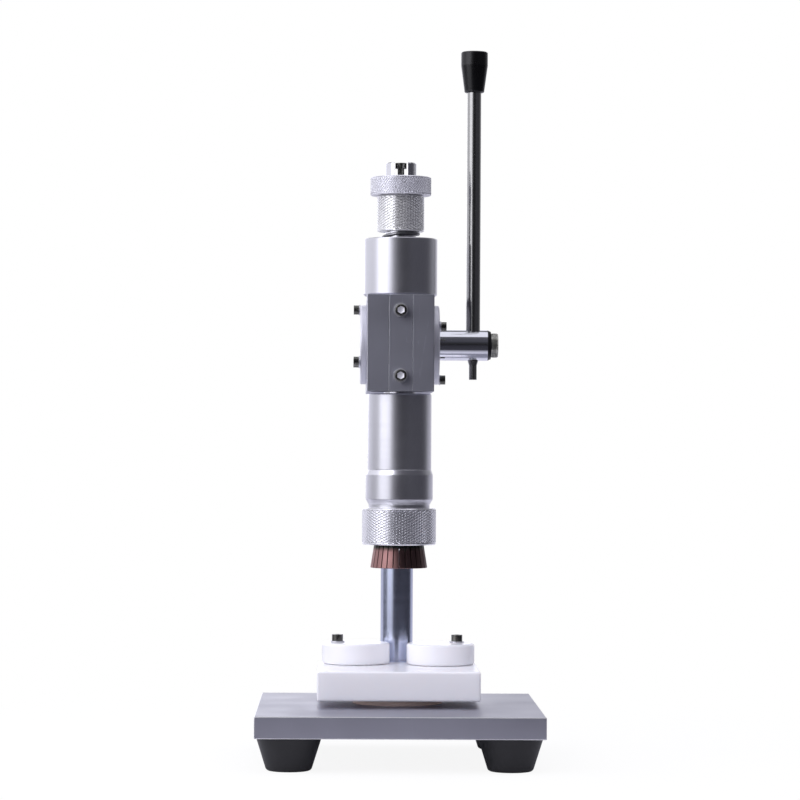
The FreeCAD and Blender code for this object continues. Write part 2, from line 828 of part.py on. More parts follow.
def make_spring_housing():
    """The thick cup on top of the block that holds the return spring."""
    outer = D.housing_dia / 2
    bore = D.housing_bore / 2
    hole = D.ram_dia / 2 + D.sliding * 2
    spigot = D.housing_spigot_dia / 2
    chamfer = D.housing_chamfer
    tall = D.housing_height
    housing = turned("SpringHousing", [
        (hole, -D.housing_spigot), (spigot, -D.housing_spigot), (spigot, 0),
        (outer - chamfer, 0), (outer, chamfer), (outer, tall - chamfer / 2),
        (outer - chamfer / 2, tall), (bore + D.edge, tall), (bore, tall - D.edge),
        (bore, D.housing_floor), (hole, D.housing_floor)])
    node(place(housing, (0, 0, BLOCK_TOP)), "spring_housing")


def make_flange(side):
    """A round cover that holds one bush: blind on the left, open for the hub on the right."""
    outer = D.flange_dia / 2
    spigot = BUSH_RADIUS
    thick = D.flange_thick
    edge = D.edge
    rim = [(spigot, -D.flange_spigot), (spigot, 0), (outer, 0), (outer, thick - edge),
           (outer - edge, thick)]
    if side == "left":
        recess = D.shaft_screw * 0.75 + D.head_room
        deep = thick / 2
        outline = [(recess, -D.flange_spigot), *rim, (0, thick), (0, deep), (recess, deep)]
    else:
        bore = D.shaft_dia / 2 + D.sliding
        outline = [(bore, -D.flange_spigot), *rim, (bore, thick)]
    body = turned(side.title() + "Flange", outline)
    sketch = new_sketch(body, side + "_flange_hole", "XY_Plane")
    draw_circle(sketch, D.flange_screw / 2 + D.sliding, D.flange_hole_radius, 0)
    hole = pocket(body, sketch, side + "_flange_drilling", both_sides=True)
    polar(body, hole, D.flange_screw_count, side + "_flange_holes")
    half = D.block_width / 2
    reach = half if side == "right" else -half
    place(body, (reach, SHAFT_BACK, SHAFT_LEVEL), "X" if side == "right" else "-X")
    return node(body, side + "_flange")


def make_flange_fasteners():
    """Three screws and washers on each flange."""
    screws = []
    washers = []
    face = D.block_width / 2 + D.flange_thick
    for side, sign, along in (("left", -1, "-X"), ("right", 1, "X")):
        for number, (back, level) in enumerate(flange_screw_places(side), start=1):
            washers.append(washer(f"FlangeWasher_{side}{number}", D.flange_screw,
                                  D.flange_screw, (sign * face, back, level), along))
            seat = sign * (face + D.washer_thick)
            screws.append(cap_screw(f"FlangeScrew_{side}{number}", D.flange_screw,
                                    D.flange_screw_length, (seat, back, level), along))
    group("flange_washers", washers)
    group("flange_screws", screws)


def make_bushes():
    """Bronze bushes for the two ends of the pinion shaft."""
    for side, length, bore, along in (
            ("right", D.right_bush_length, D.shaft_dia / 2 + D.running, "X"),
            ("left", D.left_bush_length, D.journal_dia / 2 + D.running, "-X")):
        ring = cylinder(side + "_bush_ring", BUSH_RADIUS, length)
        hole = cylinder(side + "_bush_hole", bore, length)
        reach = D.bush_inset if side == "right" else -D.bush_inset
        bush = cut(side.title() + "Bush", ring, [hole])
        node(place(bush, (reach, SHAFT_BACK, SHAFT_LEVEL), along), side + "_bush")


# Pinion shaft and lever


def involute(angle):
    """The involute function of a pressure angle in radians."""
    return math.tan(angle) - angle


def pinion_shape():
    """The toothed wheel about its own Z axis, with one tooth pointing along -Y."""
    module = D.gear_module.value
    teeth = int(round(D.gear_teeth.value))
    pressure = math.radians(D.pressure_angle.value)
    pitch_radius = PITCH_RADIUS.value
    base = pitch_radius * math.cos(pressure)
    tip = pitch_radius + module
    root = pitch_radius - module - D.rack_play.value
    tooth = math.pi * module / 2 - D.gear_backlash.value / 2
    steps = 5

    def half_angle(radius):
        """Half of the angle that a tooth covers at a radius."""
        turn = math.acos(min(1.0, base / radius))
        return tooth / (2 * pitch_radius) + involute(pressure) - involute(turn)

    def point(radius, angle):
        return FreeCAD.Vector(radius * math.cos(angle), radius * math.sin(angle), 0)

    start = max(base, root)
    radii = [start + (tip - start) * step / (steps - 1) for step in range(steps)]
    edges = []
    tooth_turn = 2 * math.pi / teeth
    for number in range(teeth):
        middle = -math.pi / 2 + number * tooth_turn
        up = [point(radius, middle - half_angle(radius)) for radius in radii]
        down = [point(radius, middle + half_angle(radius)) for radius in reversed(radii)]
        foot_in = point(root, middle - half_angle(start))
        foot_out = point(root, middle + half_angle(start))
        flank_up = Part.BSplineCurve()
        flank_up.interpolate(up)
        flank_down = Part.BSplineCurve()
        flank_down.interpolate(down)
        valley = middle + tooth_turn / 2
        following = point(root, middle + tooth_turn - half_angle(start))
        edges.append(Part.makeLine(foot_in, up[0]))
        edges.append(flank_up.toShape())
        edges.append(Part.Arc(up[-1], point(tip, middle), down[0]).toShape())
        edges.append(flank_down.toShape())
        edges.append(Part.makeLine(down[-1], foot_out))
        edges.append(Part.Arc(foot_out, point(root, valley), following).toShape())
    face = Part.Face(Part.Wire(edges))
    return face.extrude(FreeCAD.Vector(0, 0, D.gear_width.value))


def make_pinion_shaft():
    """The shaft with its teeth, left journal and the hub that takes the lever."""
    axis = (SHAFT_BACK, SHAFT_LEVEL)
    wheel = DOCUMENT.addObject("Part::Feature", "PinionTeeth")
    wheel.Shape = pinion_shape()
    place(wheel, (-GEAR_HALF, *axis), "X")
    radius = D.shaft_dia / 2
    hub_end = D.hub_reach
    hub_start = D.bush_inset + D.running
    neck = cylinder("HubNeck", D.journal_dia / 2, hub_start - GEAR_HALF, (GEAR_HALF, *axis), "X")
    hub = cylinder("HubBar", radius, hub_end - hub_start, (hub_start, *axis), "X")
    nose = DOCUMENT.addObject("Part::Cone", "HubNose")
    bind(nose, "Radius1", radius)
    bind(nose, "Radius2", radius - D.hub_chamfer_drop)
    bind(nose, "Height", D.hub_chamfer)
    place(nose, (hub_end, *axis), "X")
    journal_length = D.bush_inset - GEAR_HALF + D.left_bush_length + D.running
    journal = cylinder("Journal", D.journal_dia / 2, journal_length, (-GEAR_HALF, *axis), "-X")
    lever_hole = D.rod_neck_dia / 2 + D.running
    tall = D.shaft_dia * 2
    tools = [
        cylinder("LeverHole", lever_hole, tall, (D.lever_out, SHAFT_BACK, SHAFT_LEVEL - radius * 2)),
        cylinder("LeverSocket", D.rod_dia / 2 + D.running, radius,
                 (D.lever_out, SHAFT_BACK, SHAFT_LEVEL + radius - D.lever_socket_deep)),
        cylinder("KnobThread", D.knob_stem_dia / 2, hub_end + D.hub_chamfer - D.lever_out,
                 (D.lever_out, *axis), "X"),
        cylinder("ShaftScrewThread", D.shaft_screw / 2, D.shaft_screw_length,
                 (-GEAR_HALF - journal_length, *axis), "X"),
    ]
    shaft = cut("PinionShaft", fused("ShaftBlank", [wheel, neck, hub, nose, journal]), tools)
    node(shaft, "pinion_shaft")
    washer_out = -GEAR_HALF - journal_length
    shaft_washer = washer("ShaftWasher", D.shaft_screw, BUSH_RADIUS - D.loose,
                          (washer_out, *axis), "-X", D.shaft_washer_thick)
    node(shaft_washer, "shaft_washer")
    screw = cap_screw("ShaftScrew", D.shaft_screw,
                      D.shaft_screw_length + D.shaft_washer_thick - D.edge,
                      (washer_out - D.shaft_washer_thick, *axis), "-X", D.shaft_screw_head)
    node(screw, "shaft_screw")
    knob_reach = hub_end + D.hub_chamfer
    stem = D.knob_stem_dia / 2
    stem_end = D.lever_out + D.rod_neck_dia / 2 + D.running - knob_reach
    knob = turned("HubKnob", [
        (0, stem_end), (stem, stem_end), (stem, 0), (D.knob_dia / 2, 0),
        (D.knob_dia / 2, D.knob_thick - D.edge), (D.knob_dia / 2 - D.edge, D.knob_thick),
        (0, D.knob_thick)])
    node(place(knob, (knob_reach, *axis), "X"), "hub_knob")


def make_lever():
    """The lever rod through the hub and its tapered grip."""
    axis = (D.lever_out, SHAFT_BACK, SHAFT_LEVEL)
    radius = D.shaft_dia / 2
    shoulder = radius - D.lever_socket_deep
    neck = D.rod_neck_dia / 2
    rod = D.rod_dia / 2
    tail = D.tail_dia / 2
    rod_top = shoulder + D.rod_length
    bottom = -radius - D.tail_length
    bar = turned("LeverRod", [
        (0, bottom), (tail, bottom), (tail, -radius - D.tail_cone), (neck, -radius),
        (neck, shoulder), (neck + D.edge / 2, shoulder), (rod, shoulder + D.edge * 2),
        (rod, rod_top), (neck, rod_top), (neck, rod_top + D.grip_bore_deep - D.edge),
        (0, rod_top + D.grip_bore_deep - D.edge)])
    node(place(bar, axis), "lever_rod")
    top = D.grip_dia / 2
    low = D.grip_low_dia / 2
    edge = D.grip_edge
    tall = D.grip_length
    grip = turned("LeverGrip", [
        (neck, 0), (low - edge, 0), (low, edge), (low, edge * 2), (top, D.grip_taper),
        (top, tall - edge), (top - edge, tall), (0, tall), (0, D.grip_bore_deep),
        (neck, D.grip_bore_deep)])
    node(place(grip, (D.lever_out, SHAFT_BACK, SHAFT_LEVEL + rod_top)), "lever_grip")


# Ram and closer


def make_ram():
    """The hollow ram with rack teeth at the back and a keyway in front."""
    radius = D.ram_dia / 2
    length = RAM_TOP - RAM_BOTTOM
    edge = D.edge
    ram = turned("Ram", [
        (RAM_BORE, 0), (radius, 0), (radius, length - edge), (radius - edge, length),
        (RAM_BORE, length)])
    middle = SHAFT_LEVEL - RAM_BOTTOM
    teeth_span = TOOTH_PITCH * D.rack_teeth
    flat_low = middle - TOOTH_PITCH * 4.5
    flat = new_sketch(ram, "RackFlatOutline", "YZ_Plane")
    draw_rectangle(flat, (RACK_TIP, flat_low), (radius + edge, flat_low + teeth_span))
    pocket(ram, flat, "RackFlat", D.ram_dia * 2, both_sides=True)
    slope = tangent(D.pressure_angle)
    half = TOOTH_PITCH / 4 + D.gear_backlash / 4
    mouth = radius + edge / 2
    groove_level = middle - TOOTH_PITCH * 4
    inner = half - slope * (RACK_PITCH_LINE - RACK_ROOT)
    outer = half + slope * (mouth - RACK_PITCH_LINE)
    groove = new_sketch(ram, "RackGrooveOutline", "YZ_Plane")
    draw_outline(groove, [
        (RACK_ROOT, groove_level - inner), (mouth, groove_level - outer),
        (mouth, groove_level + outer), (RACK_ROOT, groove_level + inner)])
    first = pocket(ram, groove, "RackGroove", D.ram_dia * 2, both_sides=True)
    rack = ram.newObject("PartDesign::LinearPattern", "RackGrooves")
    rack.Originals = [first]
    rack.Direction = (origin_part(ram, "Z_Axis"), [""])
    bind(rack, "Length", TOOTH_PITCH * (D.rack_teeth - 1))
    bind(rack, "Occurrences", D.rack_teeth)
    ram.Tip = rack
    keyway = new_sketch(ram, "KeywayOutline", "YZ_Plane")
    low = KEY_LEVELS[0] - RAM_BOTTOM - 1
    high = KEY_LEVELS[1] - RAM_BOTTOM + RAM_TRAVEL + 1
    draw_rectangle(keyway, (-radius - edge, low), (KEY_FRONT + D.sliding * 2, high))
    pocket(ram, keyway, "Keyway", D.key_width + D.sliding * 2, both_sides=True)
    node(place(ram, (0, 0, RAM_BOTTOM)), "ram")


def make_closer():
    """The tube, ring and knurled nut that the ram pushes down over the collet."""
    outer = D.tube_dia / 2
    bore = D.tube_bore / 2
    tall = D.tube_length
    ram = D.ram_dia / 2
    edge = D.edge
    tube = turned("CloserTube", [
        (bore, 0), (outer, 0), (outer, tall - edge), (outer - edge, tall), (ram, tall),
        (ram, tall - D.tube_roof), (bore, tall - D.tube_roof)])
    node(place(tube, (0, 0, TUBE_BOTTOM)), "closer_tube")
    guide = D.collet_dia / 2 + D.sliding
    neck = D.neck_dia / 2
    thread = D.thread_dia / 2
    neck_top = -D.neck_cone
    neck_low = neck_top - D.neck_length
    thread_low = neck_low - D.thread_length
    ring_top = D.ring_height + D.ring_chamfer
    spigot_top = ring_top + D.ring_spigot
    ring = turned("CloserRing", [
        (guide, thread_low), (thread, thread_low), (thread, neck_low), (neck, neck_low),
        (neck, neck_top), (D.ring_dia / 2, 0), (D.ring_dia / 2, D.ring_height),
        (outer, ring_top), (bore, ring_top), (bore, spigot_top), (guide, spigot_top)])
    node(place(ring, (0, 0, RING_BOTTOM)), "closer_ring")
    slope = tangent(D.collet_flare_angle)
    slip = RAM_TRAVEL - CORE_TRAVEL
    inner_top = D.collet_nut_height - D.thread_length
    flare = D.collet_flare_dia / 2
    mouth = flare - slope * (D.collet_reach - slip) + D.closing_clearance
    cone_top = mouth - slope * inner_top
    nut = D.collet_nut_dia / 2
    height = D.collet_nut_height
    closing_nut = turned("ColletNut", [
        (mouth, 0), (nut - edge, 0), (nut, edge), (nut, height - edge), (nut - edge, height),
        (thread, height), (thread, inner_top), (cone_top, inner_top)])
    node(place(closing_nut, (0, 0, COLLET_NUT_BOTTOM)), "collet_nut")


# Core, collet and ejector


def make_core():
    """The sliding core with the collet below and the two adjusting nuts above."""
    core = D.core_dia / 2
    stub = D.stub_dia / 2
    pin_bore = D.rod_pin_dia / 2 + D.sliding
    screw_bore = D.ejector_screw / 2
    length = STUB_TOP - CORE_BOTTOM
    step = RAM_TOP + D.washer_thick - CORE_BOTTOM
    rod_top = length - D.ejector_screw_head - D.ejector_screw_length
    edge = D.edge
    spindle = turned("CoreSpindle", [
        (pin_bore, 0), (core, 0), (core, step), (stub, step), (stub, length - edge),
        (stub - edge, length), (screw_bore, length), (screw_bore, rod_top),
        (pin_bore, rod_top)])
    slot = new_sketch(spindle, "StubSlotOutline", "XZ_Plane")
    half = D.slot_width / 2
    draw_rectangle(slot, (-half, length - D.slot_deep), (half, length + edge))
    pocket(spindle, slot, "StubSlot", both_sides=True)
    node(place(spindle, (0, 0, CORE_BOTTOM)), "core_spindle")
    node(cap_screw("EjectorScrew", D.ejector_screw, D.ejector_screw_length - D.running,
                   (0, 0, STUB_TOP - D.ejector_screw_head), "Z", D.ejector_screw_head),
         "ejector_screw")
    pad_level = COLLET_BOTTOM + D.collet_mouth_deep + D.edge / 2
    pin_top = CORE_BOTTOM + rod_top - pad_level
    ejector = turned("EjectorRod", [
        (0, 0), (D.pad_dia / 2 - edge, 0), (D.pad_dia / 2, edge), (D.pad_dia / 2, D.pad_thick),
        (D.rod_pin_dia / 2, D.pad_thick), (D.rod_pin_dia / 2, pin_top), (0, pin_top)])
    node(place(ejector, (0, 0, pad_level)), "ejector_rod")
    for label, bottom, outer, height in (
            ("adjusting_nut", NUT_BOTTOM, D.nut_dia / 2, D.nut_height),
            ("lock_ring", LOCK_BOTTOM, D.lock_dia / 2, D.lock_height)):
        ring = turned(label.title().replace("_", ""), [
            (stub, 0), (outer - edge, 0), (outer, edge), (outer, height - edge),
            (outer - edge, height), (stub, height)])
        node(place(ring, (0, 0, bottom)), label)
    holder = turned("ColletHolder", [
        (core, 0), (D.holder_dia / 2, 0), (D.holder_dia / 2, D.holder_height - edge),
        (D.holder_dia / 2 - edge, D.holder_height), (core, D.holder_height)])
    node(place(holder, (0, 0, COLLET_TOP)), "collet_holder")


def make_collet():
    """The slotted collet, flared at its mouth, that grips and closes the cap."""
    flare = D.collet_flare_dia / 2
    body_radius = D.collet_dia / 2
    edge = D.edge
    mouth = D.collet_mouth_dia / 2
    relief = D.collet_relief_dia / 2
    core = D.core_dia / 2
    pin_bore = D.rod_pin_dia / 2 + D.sliding * 2
    cone_top = edge / 2 + (flare - body_radius) / tangent(D.collet_flare_angle)
    top = D.collet_length
    core_low = top - D.core_thread
    roof_low = core_low - D.housing_floor
    collet = turned("Collet", [
        (mouth + edge, 0), (flare - edge / 2, 0), (flare, edge / 2), (body_radius, cone_top),
        (body_radius, top), (core, top), (core, core_low), (pin_bore, core_low),
        (pin_bore, roof_low), (relief, roof_low), (relief, D.collet_mouth_deep),
        (mouth, D.collet_mouth_deep), (mouth, edge)])
    sketch = new_sketch(collet, "ColletSlitOutline", "XZ_Plane")
    draw_rectangle(sketch, (mouth / 2, -edge), (flare + edge, D.slit_length))
    slit = pocket(collet, sketch, "ColletSlit", D.slit_width, both_sides=True)
    polar(collet, slit, D.collet_slits, "ColletSlits")
    node(place(collet, (0, 0, COLLET_BOTTOM)), "collet")


# Springs


def make_spring(label, outer_dia, wire_dia, turns, low, high):
    """A helical wire spring that stands between two levels, 0.3 clear of each."""
    wire = wire_dia / 2
    radius = outer_dia / 2 - wire
    height = high - low - wire_dia - D.loose * 2
    start = low + wire + D.loose
    name = label.title().replace("_", "")
    helix = DOCUMENT.addObject("Part::Helix", name + "Helix")
    bind(helix, "Radius", radius)
    bind(helix, "Pitch", height / turns)
    bind(helix, "Height", height)
    section = DOCUMENT.addObject("Part::Circle", name + "Section")
    bind(section, "Radius", wire)
    section.Placement = FreeCAD.Placement(FreeCAD.Vector(0, 0, 0), TURNS["Y"])
    bind(section, "Placement.Base.x", radius)
    sweep = DOCUMENT.addObject("Part::Sweep", name)
    sweep.Sections = [section]
    sweep.Spine = (helix, ["Edge1"])
    sweep.Solid = True
    sweep.Frenet = True
    return node(place(sweep, (0, 0, start)), label)


def make_springs():
    """The return spring under the adjusting nut and the closing spring in the tube."""
    make_spring("return_spring", D.return_dia, D.return_wire, D.return_turns,
                SPRING_FLOOR, NUT_BOTTOM)
    make_spring("closing_spring", D.crimp_dia, D.crimp_wire, D.crimp_turns,
                COLLET_TOP + D.holder_height, TUBE_TOP - D.tube_roof)


def check_document():
    """Stops if an object failed or a sub-part has no valid shape."""
    for thing in DOCUMENT.Objects:
        if "Invalid" in thing.State or "Error" in thing.State:
            raise RuntimeError(f"{thing.Name} failed: {thing.State}")
    for thing in NODES:
        if thing.Shape.isNull() or not thing.Shape.isValid():
            raise RuntimeError(f"{thing.Label} has no valid shape")


def main():
    """Builds every sub-part and writes one file for each."""
    make_base_plate()
    make_feet()
    make_column()
    make_seat()
    make_stops()
    make_head_block()
    make_guide_strip()
    make_clamp_screws()
    make_spring_housing()
    make_flange("left")
    make_flange("right")
    make_flange_fasteners()
    make_bushes()
    make_pinion_shaft()
    make_lever()
    make_ram()
    make_closer()
    make_core()
    make_collet()
    make_springs()
    DOCUMENT.recompute()
    check_document()
    os.makedirs("parts", exist_ok=True)
    for thing in NODES:
        thing.Shape.exportStep(f"parts/{thing.Label}.step")
        solids = thing.Shape.Solids
        print(f"{thing.Label}: {len(solids)} solids, {thing.Shape.Volume:.0f} mm3")


main()
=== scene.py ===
"""Looks of a manual bench capping machine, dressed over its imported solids.

The solids carry every size and joint. This script gives them their finishes, cuts the diamond
knurls into the turned nuts, winds the two springs, sets the two screws in front, and builds the
studio round the machine. Lengths of pieces and finishes are millimetres in the machine's frame;
finished meshes and the studio are in metres, and angles of the studio in degrees.
"""
import logging
import math
from dataclasses import dataclass, field
from enum import Enum
from typing import Sequence

import bmesh
import bpy
from mathutils import Matrix, Vector


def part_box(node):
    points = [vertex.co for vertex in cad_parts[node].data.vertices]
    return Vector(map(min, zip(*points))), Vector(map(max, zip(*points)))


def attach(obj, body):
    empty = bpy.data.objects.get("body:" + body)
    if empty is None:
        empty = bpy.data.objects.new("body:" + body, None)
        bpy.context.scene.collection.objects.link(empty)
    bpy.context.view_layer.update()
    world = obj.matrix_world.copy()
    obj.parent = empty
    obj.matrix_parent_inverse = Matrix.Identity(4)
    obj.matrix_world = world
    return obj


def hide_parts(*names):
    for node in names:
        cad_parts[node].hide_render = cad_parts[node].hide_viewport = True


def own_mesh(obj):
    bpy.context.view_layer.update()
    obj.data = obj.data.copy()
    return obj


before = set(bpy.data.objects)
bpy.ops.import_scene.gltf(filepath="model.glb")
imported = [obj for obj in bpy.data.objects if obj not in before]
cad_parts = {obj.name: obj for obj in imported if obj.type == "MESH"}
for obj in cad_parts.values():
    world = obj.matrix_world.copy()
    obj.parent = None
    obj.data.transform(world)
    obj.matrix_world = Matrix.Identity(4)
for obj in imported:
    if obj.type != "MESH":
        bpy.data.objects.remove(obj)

LOG = logging.getLogger("capping_machine")
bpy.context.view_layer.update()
MM = 0.001
TURN = 2 * math.pi
WELD = 1e-7  # metres within which two points are one
NOTHING = 1e-6  # millimetres below which a length counts as none

Color = tuple[float, float, float]
Place = tuple[float, float, float]
Outline = Sequence[tuple[float, float]]
Ring = list[bmesh.types.BMVert]

WHITE: Color = (1.0, 1.0, 1.0)
PATCH_ENDS = (0.3, 0.7)  # values of a patch at which a finish's gloss is at its limits
HIGHLIGHT_TURN = (0.88, 0.99)  # cosines of a rounded edge's turn where the painted highlight is full and where it ends
SLANTED = (0.75, 0.92)  # largest part of a normal on a slanted face and on a squared one
SHAFT_CENTRE: Place = (0.0, 20.5, 312.0)
COLUMN_CENTRE: Place = (0.0, 80.0, 0.0)
ROD_CENTRE: Place = (55.9, 20.5, 0.0)


class Axis(Enum):
    """The main axis that a turned piece is centred on."""

    X = 0
    Z = 2


class Body(Enum):
    """The moving groups with a new piece, by the names that the solids give them."""

    HEAD = "head"
    LEVER = "lever"
    RAM = "ram"
    CORE = "core"


def node_box(name: str) -> tuple[Vector, Vector]:
    """The lowest and highest corner of a solid in millimetres.

    Args:
        name: The solid's name.

    Returns:
        Its two corners.
    """
    low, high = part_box(name)
    return low / MM, high / MM


# Shader building

MIX_INPUTS = (0, 6, 7)  # the factor and the two colours of a Mix node
MIX_OUTPUT = 2


class Nodes:
    """A small helper that adds nodes to a tree and joins them."""

    def __init__(self, tree: bpy.types.NodeTree) -> None:
        """Keeps the tree that nodes are added to."""
        self.tree = tree

    def add(self, kind: str, **settings: object) -> bpy.types.Node:
        """Adds one node.

        Args:
            kind: The node's type name without the ShaderNode prefix.
            settings: Properties of the node, and values or sockets for its inputs.

        Returns:
            The new node.
        """
        node = self.tree.nodes.new("ShaderNode" + kind)
        for key, value in settings.items():
            if hasattr(node, key):
                setattr(node, key, value)
            else:
                self.put(node.inputs[key.replace("_", " ")], value)
        return node

    def put(self, target: bpy.types.NodeSocket, value: object) -> None:
        """Gives an input its value, which is a number, a colour or another node's output.

        Args:
            target: The input.
            value: Its value.
        """
        if isinstance(value, bpy.types.NodeSocket):
            self.link(value, target)
        elif target.type == "RGBA" and len(value) == 3:
            target.default_value = (*value, 1.0)
        else:
            target.default_value = value

    def link(self, source: bpy.types.NodeSocket, target: bpy.types.NodeSocket) -> None:
        """Joins an output to an input."""
        self.tree.links.new(source, target)

    def math(self, operation: str, first: object, second: object = 0.0) -> bpy.types.NodeSocket:
        """Adds a math node.

        Args:
            operation: The node's operation.
            first: A socket or a number.
            second: A socket or a number.

        Returns:
            The node's output.
        """
        node = self.add("Math", operation=operation)
        self.put(node.inputs[0], first)
        self.put(node.inputs[1], second)
        return node.outputs[0]

    def vector(self, operation: str, *values: object) -> bpy.types.bpy_prop_collection:
        """The outputs of a vector math node that takes the values given."""
        node = self.add("VectorMath", operation=operation)
        for socket, value in zip(node.inputs, values):
            self.put(socket, value)
        return node.outputs

    def remap(self, value: bpy.types.NodeSocket, low: float, high: float,
              to_low: float, to_high: float) -> bpy.types.NodeSocket:
        """Maps a value from one range to another, held inside it.

        Args:
            value: The value to map.
            low: The start of its range.
            high: The end of its range.
            to_low: What the start becomes.
            to_high: What the end becomes.

        Returns:
            The mapped value.
        """
        node = self.add("MapRange", Value=value, From_Min=low, From_Max=high,
                        To_Min=to_low, To_Max=to_high)
        return node.outputs["Result"]

    def mix(self, share: object, first: object, second: object) -> bpy.types.NodeSocket:
        """Mixes two colours.

        Args:
            share: How much of the second, a socket or a number.
            first: A colour or a socket.
            second: A colour or a socket.

        Returns:
            The mixed colour.
        """
        node = self.add("Mix", data_type="RGBA")
        for socket, value in zip(MIX_INPUTS, (share, first, second)):
            self.put(node.inputs[socket], value)
        return node.outputs[MIX_OUTPUT]

    def split(self, vector: bpy.types.NodeSocket) -> bpy.types.bpy_prop_collection:
        """The X, Y and Z of a vector, as sockets."""
        return self.add("SeparateXYZ", Vector=vector).outputs

    def blend(self, share: bpy.types.NodeSocket, first: bpy.types.Node,
              second: bpy.types.Node) -> bpy.types.Node:
        """Mixes two shaders.

        Args:
            share: How much of the second.
            first: A shader's node.
            second: A shader's node.

        Returns:
            The node that mixes them.
        """
        node = self.add("MixShader")
        self.link(share, node.inputs[0])
        self.link(first.outputs[0], node.inputs[1])
        self.link(second.outputs[0], node.inputs[2])
        return node


def new_group(name: str, inputs: dict[str, float], outputs: Sequence[str],
              ) -> tuple[bpy.types.NodeTree, Nodes, bpy.types.Node, bpy.types.Node]:
    """Starts a shader node group with named sockets.

    Args:
        name: The group's name.
        inputs: Number inputs with their defaults; a vector input Point is always there.
        outputs: Names of its number outputs.

    Returns:
        The group, its helper, its input node and its output node.
    """
    group = bpy.data.node_groups.new(name, "ShaderNodeTree")
    face = group.interface
    face.new_socket("Point", in_out="INPUT", socket_type="NodeSocketVector")
    for label, value in inputs.items():
        socket = face.new_socket(label, in_out="INPUT", socket_type="NodeSocketFloat")
        socket.default_value = value
    for label in outputs:
        face.new_socket(label, in_out="OUTPUT", socket_type="NodeSocketFloat")
    start = group.nodes.new("NodeGroupInput")
    end = group.nodes.new("NodeGroupOutput")
    return group, Nodes(group), start, end


def tool_marks_group() -> bpy.types.NodeTree:
    """Fine rings that a lathe leaves round Z, on the side and on the faces.

    Returns:
        The group, with the outputs Height and Streak.
    """
    group, nodes, start, end = new_group("ToolMarks", {"Pitch": 900.0}, ("Height", "Streak"))
    parts = nodes.split(start.outputs["Point"])
    across = nodes.math("POWER", parts["X"], 2.0)
    back = nodes.math("POWER", parts["Y"], 2.0)
    radius = nodes.math("SQRT", nodes.math("ADD", across, back))
    along = nodes.math("ADD", parts["Z"], radius)
    scaled = nodes.math("MULTIPLY", along, start.outputs["Pitch"])
    for name, scale, detail in (("Height", 1.0, 3.0), ("Streak", 0.12, 2.0)):
        noise = nodes.add("TexNoise", noise_dimensions="1D", W=scaled, Scale=scale,
                          Detail=detail)
        nodes.link(noise.outputs[0], end.inputs[name])
    return group


def handling_group() -> bpy.types.NodeTree:
    """Soft uneven patches and fine grain, as from handling and blasting.

    Returns:
        The group, with the outputs Patch, Grain and Scratch.
    """
    group, nodes, start, end = new_group(
        "Handling", {"Patches": 35.0, "Grains": 2600.0, "Scratches": 60.0},
        ("Patch", "Grain", "Scratch"))
    given = start.outputs
    for source, name, detail in (("Patches", "Patch", 3.0), ("Grains", "Grain", 2.0)):
        noise = nodes.add("TexNoise", Vector=given["Point"], Scale=given[source], Detail=detail)
        nodes.link(noise.outputs[0], end.inputs[name])
    bend = nodes.add("Mapping", Vector=given["Point"], Rotation=(0.3, 0.2, 0.6),
                     Scale=(1.0, 1.0, 0.05))
    cells = nodes.add("TexVoronoi", feature="DISTANCE_TO_EDGE", Vector=bend.outputs[0],
                      Scale=given["Scratches"])
    line = nodes.remap(cells.outputs["Distance"], 0.0, 0.012, 1.0, 0.0)
    gate = nodes.add("TexNoise", Vector=given["Point"], Scale=90.0, Detail=1.0)
    some = nodes.remap(gate.outputs[0], 0.58, 0.64, 0.0, 1.0)
    nodes.link(nodes.math("MULTIPLY", line, some), end.inputs["Scratch"])
    return group


TOOL_MARKS = tool_marks_group()
HANDLING = handling_group()


